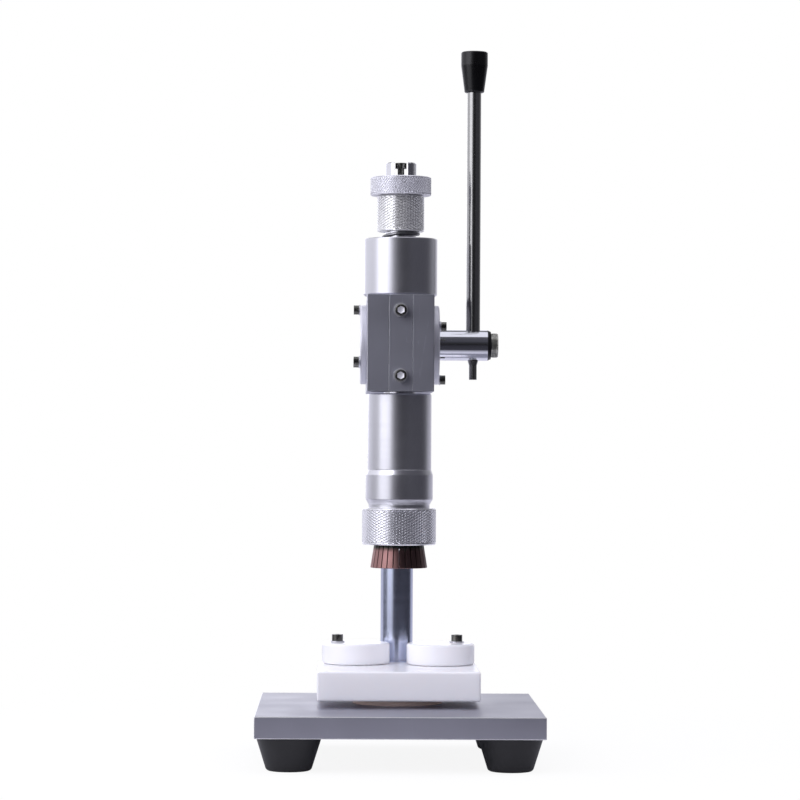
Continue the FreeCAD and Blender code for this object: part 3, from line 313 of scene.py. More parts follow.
@dataclass(frozen=True)
class Finish:
    """What every finish has in common: a colour, a gloss and rounded edges."""

    name: str
    color: Color
    roughness: float
    edge: float = 0.35
    # how strongly a highlight is painted along the rounded edges
    edge_highlight: float = 0.0

    def start(self) -> tuple[bpy.types.Material, Nodes, bpy.types.Node, bpy.types.Node]:
        """Makes the material with its surface shader and rounded edge normal.

        Returns:
            The material, its helper, the surface shader and the bump node.
        """
        material = bpy.data.materials.new(self.name)
        material.use_nodes = True
        nodes = Nodes(material.node_tree)
        surface = material.node_tree.nodes["Principled BSDF"]
        nodes.put(surface.inputs["Base Color"], self.color)
        nodes.put(surface.inputs["Roughness"], self.roughness)
        round_edge = nodes.add("Bevel", samples=4, Radius=self.edge * MM)
        bump = nodes.add("Bump", Normal=round_edge.outputs[0])
        nodes.link(bump.outputs[0], surface.inputs["Normal"])
        return material, nodes, surface, bump

    def point(self, nodes: Nodes) -> bpy.types.NodeSocket:
        """The place on the piece, in metres in the machine's frame."""
        return nodes.add("TexCoord").outputs["Object"]

    def gloss(self, nodes: Nodes, surface: bpy.types.Node, pattern: bpy.types.NodeSocket,
              less: float, more: float, ends: tuple[float, float] = PATCH_ENDS) -> None:
        """Lets the roughness wander with a pattern.

        Args:
            nodes: The material's helper.
            surface: The surface shader.
            pattern: The pattern.
            less: How far the roughness goes down.
            more: How far it goes up.
            ends: The pattern's values at which it gets there.
        """
        rough = nodes.remap(pattern, *ends, self.roughness - less, self.roughness + more)
        nodes.link(rough, surface.inputs["Roughness"])

    def relief(self, nodes: Nodes, bump: bpy.types.Node, height: bpy.types.NodeSocket,
               strength: float, depth: float) -> None:
        """Gives the surface a fine relief.

        Args:
            nodes: The material's helper.
            bump: The bump node.
            height: The pattern of the relief.
            strength: How much of it shows.
            depth: Its depth in millimetres.
        """
        bump.inputs["Strength"].default_value = strength
        bump.inputs["Distance"].default_value = depth * MM
        nodes.link(height, bump.inputs["Height"])

    def painted_edge_highlight(self, nodes: Nodes, bump: bpy.types.Node,
             color: bpy.types.NodeSocket) -> bpy.types.NodeSocket:
        """Paints a highlight along the rounded edges by brightening the colour there.

        Args:
            nodes: The material's helper.
            bump: The bump node, whose normal comes from the rounded edges.
            color: The colour away from the edges.

        Returns:
            The colour with its painted edge highlight.
        """
        rounded = bump.inputs["Normal"].links[0].from_socket
        turn = nodes.vector("DOT_PRODUCT", rounded, nodes.add("NewGeometry").outputs["Normal"])
        mask = nodes.remap(turn["Value"], *HIGHLIGHT_TURN, self.edge_highlight, 0.0)
        return nodes.mix(mask, color, WHITE)


@dataclass(frozen=True)
class TurnedMetal(Finish):
    """Metal turned on a lathe, with fine rings round its axis."""

    marks: float = 0.15
    spread: float = 0.06
    tint: float = 0.04
    metallic: float = 1.0
    centre: Place = (0.0, 0.0, 0.0)
    axis: Axis = Axis.Z

    def build(self) -> bpy.types.Material:
        """Makes the material."""
        material, nodes, surface, bump = self.start()
        surface.inputs["Metallic"].default_value = self.metallic
        turn = TURN / 4 if self.axis is Axis.X else 0.0
        shift = nodes.add("Mapping", vector_type="TEXTURE", Vector=self.point(nodes),
                          Location=Vector(self.centre) * MM, Rotation=(0.0, turn, 0.0))
        rings = nodes.add("Group", node_tree=TOOL_MARKS, Point=shift.outputs[0], Pitch=2200.0)
        touch = nodes.add("Group", node_tree=HANDLING, Point=shift.outputs[0], Patches=30.0)
        uneven = nodes.math("MULTIPLY", touch.outputs["Patch"], rings.outputs["Streak"])
        self.gloss(nodes, surface, uneven, self.spread, self.spread, ends=(0.12, 0.38))
        darker = tuple(part * (1 - self.tint) for part in self.color)
        color = nodes.mix(rings.outputs["Streak"], self.color, darker)
        # painted highlight along the rounded edges
        nodes.link(self.painted_edge_highlight(nodes, bump, color), surface.inputs["Base Color"])
        self.relief(nodes, bump, rings.outputs["Height"], self.marks, 0.02)
        return material


@dataclass(frozen=True)
class MilledMetal(Finish):
    """Satin metal from a mill or a blasting cabinet, with grain and a few scratches."""

    grain: float = 0.2
    spread: float = 0.05
    scratch: float = 0.5

    def build(self) -> bpy.types.Material:
        """Makes the material."""
        material, nodes, surface, bump = self.start()
        surface.inputs["Metallic"].default_value = 1.0
        touch = nodes.add("Group", node_tree=HANDLING, Point=self.point(nodes), Patches=22.0)
        self.gloss(nodes, surface, touch.outputs["Patch"], self.spread, self.spread)
        pale = tuple(min(1.0, part * 1.25) for part in self.color)
        lines = nodes.math("MULTIPLY", touch.outputs["Scratch"], self.scratch)
        color = nodes.mix(lines, self.color, pale)
        # painted highlight on the slanted chamfers
        if self.edge_highlight:
            color = nodes.mix(self.chamfer_highlight(nodes), color, WHITE)
        # painted highlight along the rounded edges
        nodes.link(self.painted_edge_highlight(nodes, bump, color), surface.inputs["Base Color"])
        self.relief(nodes, bump, touch.outputs["Grain"], self.grain, 0.03)
        return material

    def chamfer_highlight(self, nodes: Nodes) -> bpy.types.NodeSocket:
        """Finds the narrow slanted faces along a squared piece's edges, where a highlight is
        painted.

        Args:
            nodes: The material's helper.

        Returns:
            A mask, as strong as the painted highlight on a slanted face and 0 on a level or
            upright one.
        """
        steep = nodes.vector("ABSOLUTE", nodes.add("NewGeometry").outputs["Normal"])
        parts = nodes.split(steep["Vector"])
        most = nodes.math("MAXIMUM", parts["X"], nodes.math("MAXIMUM", parts["Y"], parts["Z"]))
        return nodes.remap(most, *SLANTED, self.edge_highlight, 0.0)


@dataclass(frozen=True)
class Moulded(Finish):
    """Plastic, rubber or pale plating, with a fine skin and patches of handling; the pale plating
    paints highlights into screw sockets and onto washers.
    """

    grain: float = 0.1
    spread: float = 0.06
    glow: float = 0.0
    glow_depth: float = 4.0
    metallic: float = 0.0

    def build(self) -> bpy.types.Material:
        """Makes the material."""
        material, nodes, surface, bump = self.start()
        surface.inputs["Metallic"].default_value = self.metallic
        surface.inputs["Subsurface Weight"].default_value = self.glow
        surface.inputs["Subsurface Scale"].default_value = self.glow_depth * MM
        surface.inputs["Subsurface Radius"].default_value = (1.0, 0.9, 0.85)
        touch = nodes.add("Group", node_tree=HANDLING, Point=self.point(nodes), Patches=26.0,
                          Grains=1400.0)
        self.gloss(nodes, surface, touch.outputs["Patch"], self.spread, self.spread)
        self.relief(nodes, bump, touch.outputs["Grain"], self.grain, 0.06)
        return material


@dataclass(frozen=True)
class BrownedBronze(Finish):
    """The collet's bronze, browned by heat, with a painted shadow of the nut darkening its top
    and painted shade towards its right side.
    """

    band: tuple[float, float] = (158.0, 161.0)
    nut_shadow_wave: float = 3.0
    nut_shadow_color: Color = (0.045, 0.05, 0.042)
    shade: tuple[float, float] = (-4.0, 3.0)
    shade_share: float = 0.75
    shade_color: Color = (0.10, 0.07, 0.07)

    def build(self) -> bpy.types.Material:
        """Makes the material."""
        material, nodes, surface, bump = self.start()
        surface.inputs["Metallic"].default_value = 1.0
        point = self.point(nodes)
        touch = nodes.add("Group", node_tree=HANDLING, Point=point, Patches=120.0)
        parts = nodes.split(point)
        # painted shadow of the nut: dark from the band's lower end upward, with a wavy edge
        wave = nodes.math("MULTIPLY", touch.outputs["Patch"], self.nut_shadow_wave * MM)
        level = nodes.math("ADD", parts["Z"], wave)
        band = nodes.remap(level, *(end * MM for end in self.band), 0.0, 1.0)
        # painted shade: darker towards the right side, away from the lamps
        side = nodes.remap(parts["X"], *(end * MM for end in self.shade), 0.0, self.shade_share)
        painted_right_shade = nodes.mix(side, self.color, self.shade_color)
        nodes.link(nodes.mix(band, painted_right_shade, self.nut_shadow_color), surface.inputs["Base Color"])
        self.gloss(nodes, surface, touch.outputs["Patch"], less=0.06, more=0.08)
        self.relief(nodes, bump, touch.outputs["Grain"], strength=0.15, depth=0.03)
        return material


class Finishes:
    """Every material of the machine, made once."""

    def __init__(self) -> None:
        """Makes the materials."""
        cross = {"axis": Axis.X, "centre": SHAFT_CENTRE}
        knurl = {"marks": 0.02, "edge": 0.05}
        # edge_highlight paints a bright line along the edges and chamfers
        self.plate = MilledMetal("PlateAlloy", (0.47, 0.47, 0.54), 0.46, edge=0.8, edge_highlight=0.9,
                                 scratch=0.15).build()
        self.block = MilledMetal("BlockAlloy", (0.53, 0.535, 0.61), 0.5, edge=0.6,
                                 edge_highlight=0.35).build()
        self.turned = TurnedMetal("TurnedAlloy", (0.80, 0.80, 0.85), 0.32, marks=0.05,
                                  spread=0.02, tint=0.02, edge=0.8, edge_highlight=0.3).build()
        self.flange = TurnedMetal("FlangeAlloy", (0.86, 0.86, 0.93), 0.38, marks=0.05,
                                  spread=0.02, metallic=0.5, edge=1.5, edge_highlight=0.3,
                                  **cross).build()
        self.knurled = TurnedMetal("KnurledAlloy", (0.96, 0.96, 1.0), 0.22, spread=0.02,
                                   metallic=0.9, **knurl).build()
        self.nut_knurl = TurnedMetal("NutKnurlAlloy", WHITE, 0.24, spread=0.02,
                                     metallic=0.8, **knurl).build()
        self.fine_knurl = TurnedMetal("FineKnurlAlloy", (0.95, 0.95, 1.0), 0.3, spread=0.02,
                                      metallic=0.53, **knurl).build()
        # A darker copy of the knob's finish for its groove flanks: painted shade in the grooves.
        self.knob_groove_shade = TurnedMetal("KnobGrooveShade", (0.52, 0.52, 0.48), 0.4, **knurl,
                                       **cross).build()
        self.knob = TurnedMetal("KnobAlloy", (0.80, 0.80, 0.75), 0.22, **knurl, **cross).build()
        self.chrome = TurnedMetal("HardChrome", (0.64, 0.69, 0.86), 0.22, marks=0.03,
                                  spread=0.02, tint=0.02, centre=COLUMN_CENTRE).build()
        self.hub = TurnedMetal("HubChrome", (0.82, 0.83, 0.90), 0.10, marks=0.05,
                               spread=0.03, **cross).build()
        self.rod = TurnedMetal("RodChrome", (0.43, 0.43, 0.42), 0.18, marks=0.05,
                               spread=0.03, centre=ROD_CENTRE).build()
        self.ground = TurnedMetal("GroundSteel", (0.80, 0.80, 0.84), 0.16, marks=0.06,
                                  spread=0.04).build()
        self.zinc = MilledMetal("ZincSteel", (0.80, 0.80, 0.84), 0.35, grain=0.05,
                                scratch=0.0, edge=0.5).build()
        self.screw = MilledMetal("BurnishedSteel", (0.17, 0.17, 0.155), 0.28, grain=0.05,
                                 scratch=0.0, edge=0.25).build()
        # Pale finish for the socket walls: painted highlight of the lamps on the screw faces.
        self.socket = Moulded("PaintedSocketHighlight", (0.88, 0.88, 0.92), 0.3, grain=0.05, edge=0.05,
                              metallic=0.3).build()
        # A paler, less metallic copy of the zinc: painted highlight on the washers' lit rims.
        self.washer = Moulded("PaleZincHighlight", (0.74, 0.74, 0.78), 0.35, grain=0.05,
                              metallic=0.75).build()
        self.bushing = TurnedMetal("BearingBronze", (0.72, 0.5, 0.27), 0.3, **cross).build()
        self.wire = MilledMetal("SpringWire", (0.30, 0.30, 0.31), 0.3, grain=0.05).build()
        self.nylon = Moulded("WhiteNylon", (0.965, 0.96, 0.985), 0.25, grain=0.04, spread=0.02,
                             glow=0.45, glow_depth=12.0, edge=0.8).build()
        # The disc's own brown, made paler to paint light into the shade under the seat.
        self.fibre = Moulded("FibreDisc", (0.93, 0.73, 0.62), 0.5, grain=0.2).build()
        self.seal = Moulded("SealRubber", (0.006, 0.006, 0.007), 0.4, grain=0.05).build()
        self.rubber = Moulded("FootRubber", (0.008, 0.008, 0.009), 0.5, grain=0.25,
                              edge=0.6).build()
        self.grip = Moulded("GripPlastic", (0.003, 0.003, 0.0035), 0.3, grain=0.08).build()
        self.bronze = BrownedBronze("BrownedBronze", (0.36, 0.20, 0.19), 0.38,
                                    edge=0.15).build()


# Mesh building


def dress(piece: bpy.types.Object, material: bpy.types.Material, sharp: float = 28.0,
          second: bpy.types.Material | None = None) -> None:
    """Gives a piece its material and smooth shading with sharp corners, and reports it.

    Args:
        piece: The piece to dress.
        material: Its finish.
        sharp: The angle in degrees above which an edge stays sharp.
        second: The finish of the faces marked with 1, if the piece has any.
    """
    marks = [face.material_index for face in piece.data.polygons]
    piece.data.materials.clear()
    piece.data.materials.append(material)
    if second:
        piece.data.materials.append(second)
        for face, mark in zip(piece.data.polygons, marks):
            face.material_index = mark
    piece.data.shade_smooth()
    piece.data.set_sharp_from_angle(angle=math.radians(sharp))
    LOG.info("%s: %d faces", piece.name, len(piece.data.polygons))


def new_piece(name: str, mesh: bmesh.types.BMesh) -> bpy.types.Object:
    """Turns a built mesh into an object of the scene.

    Args:
        name: The piece's name.
        mesh: The mesh, in metres in the machine's frame.

    Returns:
        The new object.
    """
    bmesh.ops.remove_doubles(mesh, verts=mesh.verts, dist=WELD)
    bmesh.ops.recalc_face_normals(mesh, faces=mesh.faces)
    data = bpy.data.meshes.new(name)
    mesh.to_mesh(data)
    mesh.free()
    piece = bpy.data.objects.new(name, data)
    bpy.context.scene.collection.objects.link(piece)
    return piece


def axis_turn(axis: Axis, centre: Vector) -> Matrix:
    """The move that puts a shape built round Z onto a main axis.

    Args:
        axis: The axis that the shape's Z goes to.
        centre: Where its origin goes, in millimetres.

    Returns:
        The move, from millimetres to metres.
    """
    turn = Matrix.Rotation(TURN / 4 if axis is Axis.X else 0.0, 4, "Y")
    return Matrix.Scale(MM, 4) @ Matrix.Translation(centre) @ turn


def softened(outline: Outline, radius: float, share_of_side: float = 0.45,
             least: float = 1e-4, steps: int = 3) -> list[tuple[float, float]]:
    """Rounds the corners of a closed outline.

    Args:
        outline: The outline's (radius, height) corners.
        radius: The rounding at each corner.
        share_of_side: The most of a short side that a rounding takes.
        least: The rounding below which a corner stays sharp.
        steps: Points along each rounding.

    Returns:
        The rounded outline.
    """
    rounded = []
    count = len(outline)
    for number in range(count):
        corner = Vector(outline[number])
        before = Vector(outline[number - 1]) - corner
        after = Vector(outline[(number + 1) % count]) - corner
        reach = min(radius, before.length * share_of_side, after.length * share_of_side)
        if corner.x < NOTHING or reach < least:
            rounded.append((corner.x, corner.y))
            continue
        first = corner + before.normalized() * reach
        last = corner + after.normalized() * reach
        for step in range(steps + 1):
            share = step / steps
            point = first.lerp(corner, share).lerp(corner.lerp(last, share), share)
            rounded.append((point.x, point.y))
    return rounded


def round_axis(radius: float, angle: float, height: float) -> Place:
    """The point at a radius, an angle and a height about Z."""
    return radius * math.cos(angle), radius * math.sin(angle), height


def join_rings(mesh: bmesh.types.BMesh, rings: list[Ring],
               loop: bool = True) -> list[tuple[int, bmesh.types.BMFace]]:
    """Adds the faces between neighbouring rings, and none along an axis where they meet.

    Args:
        mesh: The mesh to add to.
        rings: The rings of points.
        loop: Whether the last ring joins the first.

    Returns:
        Each face, after the number of its first point in the ring.
    """
    faces = []
    for ring, following in zip(rings, rings[1:] + rings[:1] if loop else rings[1:]):
        for place in range(len(ring)):
            after = (place + 1) % len(ring)
            if any((ring[spot].co - following[spot].co).length > NOTHING
                   for spot in (place, after)):
                corners = (ring[place], following[place], following[after], ring[after])
                faces.append((place, mesh.faces.new(corners)))
    return faces


@dataclass
class DiamondKnurl:
    """Crossed grooves round a turned band, which leave rows of small blunt pyramids."""

    low: float
    high: float
    radius: float
    depth: float
    width: float
    height: float
    flat: float = 0.5

    def add(self, mesh: bmesh.types.BMesh) -> None:
        """Adds the band of pyramids about Z.

        Args:
            mesh: The mesh to add to, whose flanks are marked with 1.
        """
        columns = 2 * round(TURN * self.radius / self.width)
        rows = 2 * max(1, round((self.high - self.low) / self.height))

        def corner(row: float, column: float, radius: float) -> bmesh.types.BMVert:
            """Adds the point at a row, a column and a radius."""
            level = self.low + (self.high - self.low) * row / rows
            return mesh.verts.new(round_axis(radius, TURN * column / columns, level))

        groove = {(row, column): corner(row, column, self.radius - self.depth)
                  for row in range(rows + 1) for column in range(columns)
                  if (row + column) % 2 == 0 or row in (0, rows)}
        for row in range(1, rows):
            for column in range((row + 1) % 2, columns, 2):
                around = ((row - 1, column), (row, column + 1),
                            (row + 1, column), (row, column - 1))
                outer = [groove[up, across % columns] for up, across in around]
                inner = [corner(row + (up - row) * self.flat,
                                column + (across - column) * self.flat, self.radius)
                         for up, across in around]
                mesh.faces.new(inner)
                for first in range(4):
                    last = (first + 1) % 4
                    flank = mesh.faces.new((outer[first], outer[last],
                                            inner[last], inner[first]))
                    flank.material_index = 1
        for row, inside in ((0, 1), (rows, rows - 1)):
            for column in range(1, columns, 2):
                middle, tip = groove[row, column], groove[inside, column]
                mesh.faces.new((groove[row, column - 1], middle, tip))
                mesh.faces.new((middle, groove[row, (column + 1) % columns], tip))


@dataclass
class KnurledRing:
    """A turned nut or ring with a knurled band, in place of one plain solid."""

    node: str
    body: Body
    bore: float
    knurl_width: float
    knurl_height: float
    depth: float
    margin: float
    chamfer: float
    cone_bore: float = 0.0
    axis: Axis = Axis.Z
    stem: float = 0.0
    thick: float = 0.0
    segments: int = 144
    under: float = 0.06
    lip: float = 0.05
    rounding: float = 0.25

    def outline(self, low: float, high: float, radius: float) -> list[tuple[float, float]]:
        """The ring's section, with a shallow groove where the knurl stands.

        Args:
            low: The solid's lower end, where a stem starts if the ring has one.
            high: The ring's upper end.
            radius: Its outer radius.

        Returns:
            The section's corners.
        """
        foot = [(self.cone_bore or self.bore, low)]
        if self.stem:
            foot = [(0.0, low), (self.stem, low), (self.stem, high - self.thick)]
            low = high - self.thick
        floor = radius - self.depth - self.under
        start = low + self.margin
        end = high - self.margin
        edge = self.chamfer
        return [*foot, (radius - edge, low), (radius, low + edge), (radius, start - self.lip),
                (floor, start), (floor, end), (radius, end + self.lip), (radius, high - edge),
                (radius - edge, high), (self.bore, high)]

    def build(self, material: bpy.types.Material,
              groove: bpy.types.Material | None = None) -> None:
        """Builds the ring round its axis.

        Args:
            material: Its finish.
            groove: The finish of the grooves' flanks, if they have their own, such as a darker
                one that paints shade into the grooves.
        """
        low, high = node_box(self.node)
        along = self.axis.value
        radius = (high.y - low.y) / 2
        centre = (low + high) / 2
        centre[along] = 0.0
        top = high[along]
        foot = top - self.thick if self.stem else low[along]
        outline = softened(self.outline(low[along], top, radius), self.rounding)
        mesh = bmesh.new()
        join_rings(mesh, [[mesh.verts.new(round_axis(out, TURN * number / self.segments, height))
                           for out, height in outline] for number in range(self.segments)])
        DiamondKnurl(foot + self.margin, top - self.margin, radius, self.depth,
                     self.knurl_width, self.knurl_height).add(mesh)
        mesh.transform(axis_turn(self.axis, centre))
        piece = new_piece(self.node + "_knurled", mesh)
        dress(piece, material, sharp=12.0, second=groove)
        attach(piece, self.body.value)
        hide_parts(self.node)


@dataclass
class Coil:
    """A round wire spring whose end coils lie closed and are ground flat."""

    node: str
    body: Body
    wire: float
    turns: float
    closed: float
    joint: str
    keep: float
    anchor_low: bool = True
    start_angle: float = 0.0
    nesting: float = 0.15
    steps: int = 36
    sides: int = 14

    def build(self, material: bpy.types.Material) -> None:
        """Builds the spring inside the box of its plain solid.

        Args:
            material: Its finish.
        """
        low, high = node_box(self.node)
        bottom, top = low.z, high.z
        thick = self.wire / 2
        middle = (high.x - low.x) / 2 - thick
        total = self.turns + 2 * self.closed
        count = int(total * self.steps)
        mesh = bmesh.new()
        rings = []
        for number in range(count + 1):
            turn = total * number / count
            rise = self.level(turn, total, bottom + thick, top - thick)
            ring = []
            for side in range(self.sides):
                spin = TURN * side / self.sides
                spot = round_axis(middle + thick * math.cos(spin), self.start_angle + turn * TURN,
                                  min(max(rise + thick * math.sin(spin), bottom), top))
                ring.append(mesh.verts.new(spot))
            rings.append(ring)
        join_rings(mesh, rings, loop=False)
        mesh.faces.new(rings[0])
        mesh.faces.new(rings[-1])
        mesh.transform(Matrix.Scale(MM, 4))
        piece = new_piece(self.node + "_coil", mesh)
        dress(piece, material, sharp=40.0)
        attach(piece, self.body.value)
        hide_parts(self.node)
        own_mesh(piece)

    def level(self, turn: float, total: float, low: float, high: float) -> float:
        """The wire's height after a number of turns.

        Args:
            turn: Turns from the lower end.
            total: All turns.
            low: The wire's height at the lower end.
            high: The wire's height at the upper end.

        Returns:
            The height.
        """
        rest = self.wire * self.nesting * self.closed
        if turn < self.closed:
            return low + rest * turn / self.closed
        if turn > total - self.closed:
            return high - rest * (total - turn) / self.closed
        share = (turn - self.closed) / (total - 2 * self.closed)
        return low + rest + (high - low - 2 * rest) * share


@dataclass
class SocketScrews:
    """Two cap screws that face the operator, each with a chamfered head and a hexagon socket.

    The sides of a screw's section from number highlight_from on lie inside its socket, whose pale
    finish is a painted highlight.
    """

    node: str
    body: Body
    head: float = 8.5
    tall: float = 5.0
    shank: float = 5.0
    socket: float = 5.0
    deep: float = 0.4
    cone: float = 1.3
    tip: float = 0.4
    bevel: tuple[float, float] = (0.5, 0.55)
    mouth: float = 0.15
    highlight_from: int = 8
    segments: int = 48

    def section(self, angle: float, length: float) -> list[tuple[float, float]]:
        """One screw's section at an angle, from its tip to the middle of its socket.

        Args:
            angle: The angle about the screw, in radians.
            length: The screw's whole length.

        Returns:
            The section's (radius, height) points, where the head's face is at 0.
        """
        from_flat = (angle + TURN / 12) % (TURN / 6) - TURN / 12
        hexagon = self.socket / 2 / math.cos(from_flat)
        shank, head = self.shank / 2, self.head / 2
        across, down = self.bevel
        return [(0.0, -length), (shank - self.tip, -length), (shank, -length + self.tip),
                (shank, -self.tall), (head, -self.tall), (head, -down), (head - across, 0.0),
                (hexagon + self.mouth, 0.0), (hexagon, -self.mouth), (hexagon, -self.deep),
                (0.0, -self.deep - self.cone)]

    def build(self, metal: bpy.types.Material, bright: bpy.types.Material) -> None:
        """Builds both screws in the places of their solids.

        Args:
            metal: The screws' finish.
            bright: The pale finish inside their sockets, a painted highlight.
        """
        low, high = node_box(self.node)
        mesh = bmesh.new()
        across = (low.x + high.x) / 2
        for level in (low.z + self.head / 2, high.z - self.head / 2):
            rings = []
            for number in range(self.segments):
                angle = TURN * number / self.segments
                spots = (round_axis(radius, angle, height)
                         for radius, height in self.section(angle, high.y - low.y))
                rings.append([mesh.verts.new((across + x, low.y - z, level + y))
                              for x, y, z in spots])
            # faces inside the socket take the painted highlight
            for place, face in join_rings(mesh, rings):
                face.material_index = int(place >= self.highlight_from)
        mesh.transform(Matrix.Scale(MM, 4))
        piece = new_piece(self.node + "_heads", mesh)
        dress(piece, metal, second=bright)
        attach(piece, self.body.value)
        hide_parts(self.node)


# Sub-assemblies


@dataclass
class SubAssembly:
    """A group of pieces that are dressed together."""

    finishes: Finishes

    def plain(self, material: bpy.types.Material, *names: str) -> None:
        """Dresses solids that are shown as they are.

        Args:
            material: Their finish.
            names: The solids' names.
        """
        for name in names:
            dress(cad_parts[name], material)


@dataclass
class BaseAndColumn(SubAssembly):
    """The plate on its feet, the column, and the seat with its two stops."""

    def build(self) -> None:
        """Dresses the pieces."""
        finish = self.finishes
        self.plain(finish.plate, "base_plate")
        self.plain(finish.rubber, "rubber_feet")
        self.plain(finish.chrome, "column")
        self.plain(finish.fibre, "seat_disc")
        self.plain(finish.nylon, "bottle_seat", "left_stop", "right_stop")
        self.plain(finish.zinc, "foot_washers", "column_washer")
        self.plain(finish.washer, "stop_washers")
        self.plain(finish.screw, "foot_screws", "column_bolt", "seat_bolt", "stop_screws")


@dataclass
class Head(SubAssembly):
    """The block with its strip, flanges, bushes and spring housing."""

    spring: Coil = field(default_factory=lambda: Coil(
        "return_spring", Body.HEAD, wire=2.3, turns=3.0, closed=0.6, joint="core_slide",
        keep=0.877, start_angle=0.122 * TURN))
    screws: SocketScrews = field(default_factory=lambda: SocketScrews(
        "strip_screws", Body.HEAD))

    def build(self) -> None:
        """Dresses the pieces, sets the two screws in front and winds the return spring."""
        finish = self.finishes
        self.plain(finish.block, "head_block", "guide_strip")
        self.plain(finish.turned, "spring_housing")
        self.plain(finish.flange, "left_flange", "right_flange")
        self.plain(finish.bushing, "left_bush", "right_bush")
        self.plain(finish.washer, "strip_washers", "flange_washers")
        self.plain(finish.screw, "clamp_screws", "flange_screws")
        self.screws.build(finish.screw, finish.socket)
        self.spring.build(finish.wire)


@dataclass
class Lever(SubAssembly):
    """The pinion shaft with its hub, knob, rod and grip."""

    knob: KnurledRing = field(default_factory=lambda: KnurledRing(
        "hub_knob", Body.LEVER, bore=0.0, knurl_width=1.5, knurl_height=2.0, depth=0.6,
        margin=0.4, chamfer=0.35, axis=Axis.X, stem=4.0, thick=5.5, segments=96))
    nose: float = 2.45
    nose_past: float = 0.1

    def build(self) -> None:
        """Dresses the pieces and cuts the knob's knurl."""
        finish = self.finishes
        self.plain(finish.hub, "pinion_shaft")
        self.plain(finish.zinc, "shaft_washer")
        self.plain(finish.screw, "shaft_screw")
        self.plain(finish.rod, "lever_rod")
        self.plain(finish.grip, "lever_grip")
        # the groove flanks take the darker finish, painted shade in the knurl's grooves
        self.knob.build(finish.knob, finish.knob_groove_shade)
        self.blacken_nose()

    def blacken_nose(self) -> None:
        """Gives the hub's tapered end, up to the knob, its black ring."""
        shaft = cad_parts["pinion_shaft"]
        end = (node_box(self.knob.node)[1].x - self.knob.thick) * MM
        shaft.data.materials.append(self.finishes.seal)
        for face in shaft.data.polygons:
            if end - self.nose * MM < face.center.x < end + self.nose_past * MM:
                face.material_index = 1


@dataclass
class Ram(SubAssembly):
    """The ram with its tube, ring and knurled closing nut."""

    nut: KnurledRing = field(default_factory=lambda: KnurledRing(
        "collet_nut", Body.RAM, bore=22.05, knurl_width=4.32, knurl_height=2.06, depth=0.5,
        margin=1.3, chamfer=0.8, cone_bore=19.8))
    spring: Coil = field(default_factory=lambda: Coil(
        "closing_spring", Body.RAM, wire=3.2, turns=2.6, closed=0.8, joint="ram_slide",
        keep=0.75, anchor_low=False))

    def build(self) -> None:
        """Dresses the pieces, cuts the nut's knurl and winds the closing spring."""
        finish = self.finishes
        self.plain(finish.ground, "ram")
        self.plain(finish.turned, "closer_tube", "closer_ring")
        self.nut.build(finish.knurled)
        self.spring.build(finish.wire)


@dataclass
class Core(SubAssembly):
    """The core with the collet below and the adjusting nuts above."""

    nut: KnurledRing = field(default_factory=lambda: KnurledRing(
        "adjusting_nut", Body.CORE, bore=11.7, knurl_width=4.6, knurl_height=2.1, depth=0.5,
        margin=1.2, chamfer=0.8))
    ring: KnurledRing = field(default_factory=lambda: KnurledRing(
        "lock_ring", Body.CORE, bore=11.7, knurl_width=2.1, knurl_height=2.5, depth=0.5,
        margin=0.7, chamfer=0.6))

    def build(self) -> None:
        """Dresses the pieces and cuts the knurls."""
        finish = self.finishes
        self.plain(finish.ground, "core_spindle", "ejector_rod", "collet_holder")
        self.plain(finish.screw, "ejector_screw")
        self.plain(finish.bronze, "collet")
        self.nut.build(finish.nut_knurl)
        self.ring.build(finish.fine_knurl)


# Studio


@dataclass(frozen=True)
class Cone:
    """A round part of the surround, with its angles in degrees."""

    azimuth: float
    wide: float
    soft: float

    def mask(self, nodes: Nodes, ray: bpy.types.NodeSocket) -> bpy.types.NodeSocket:
        """How far a direction lies inside the cone.

        Args:
            nodes: The world's helper.
            ray: The direction looked in.

        Returns:
            A mask, 1 inside and 0 outside.
        """
        angle = math.radians(self.azimuth)
        side = nodes.vector("DOT_PRODUCT", ray, (math.sin(angle), -math.cos(angle), 0.0))
        outer = math.cos(math.radians(self.wide + self.soft / 2))
        inner = math.cos(math.radians(self.wide - self.soft / 2))
        return nodes.remap(side["Value"], outer, inner, 0.0, 1.0)


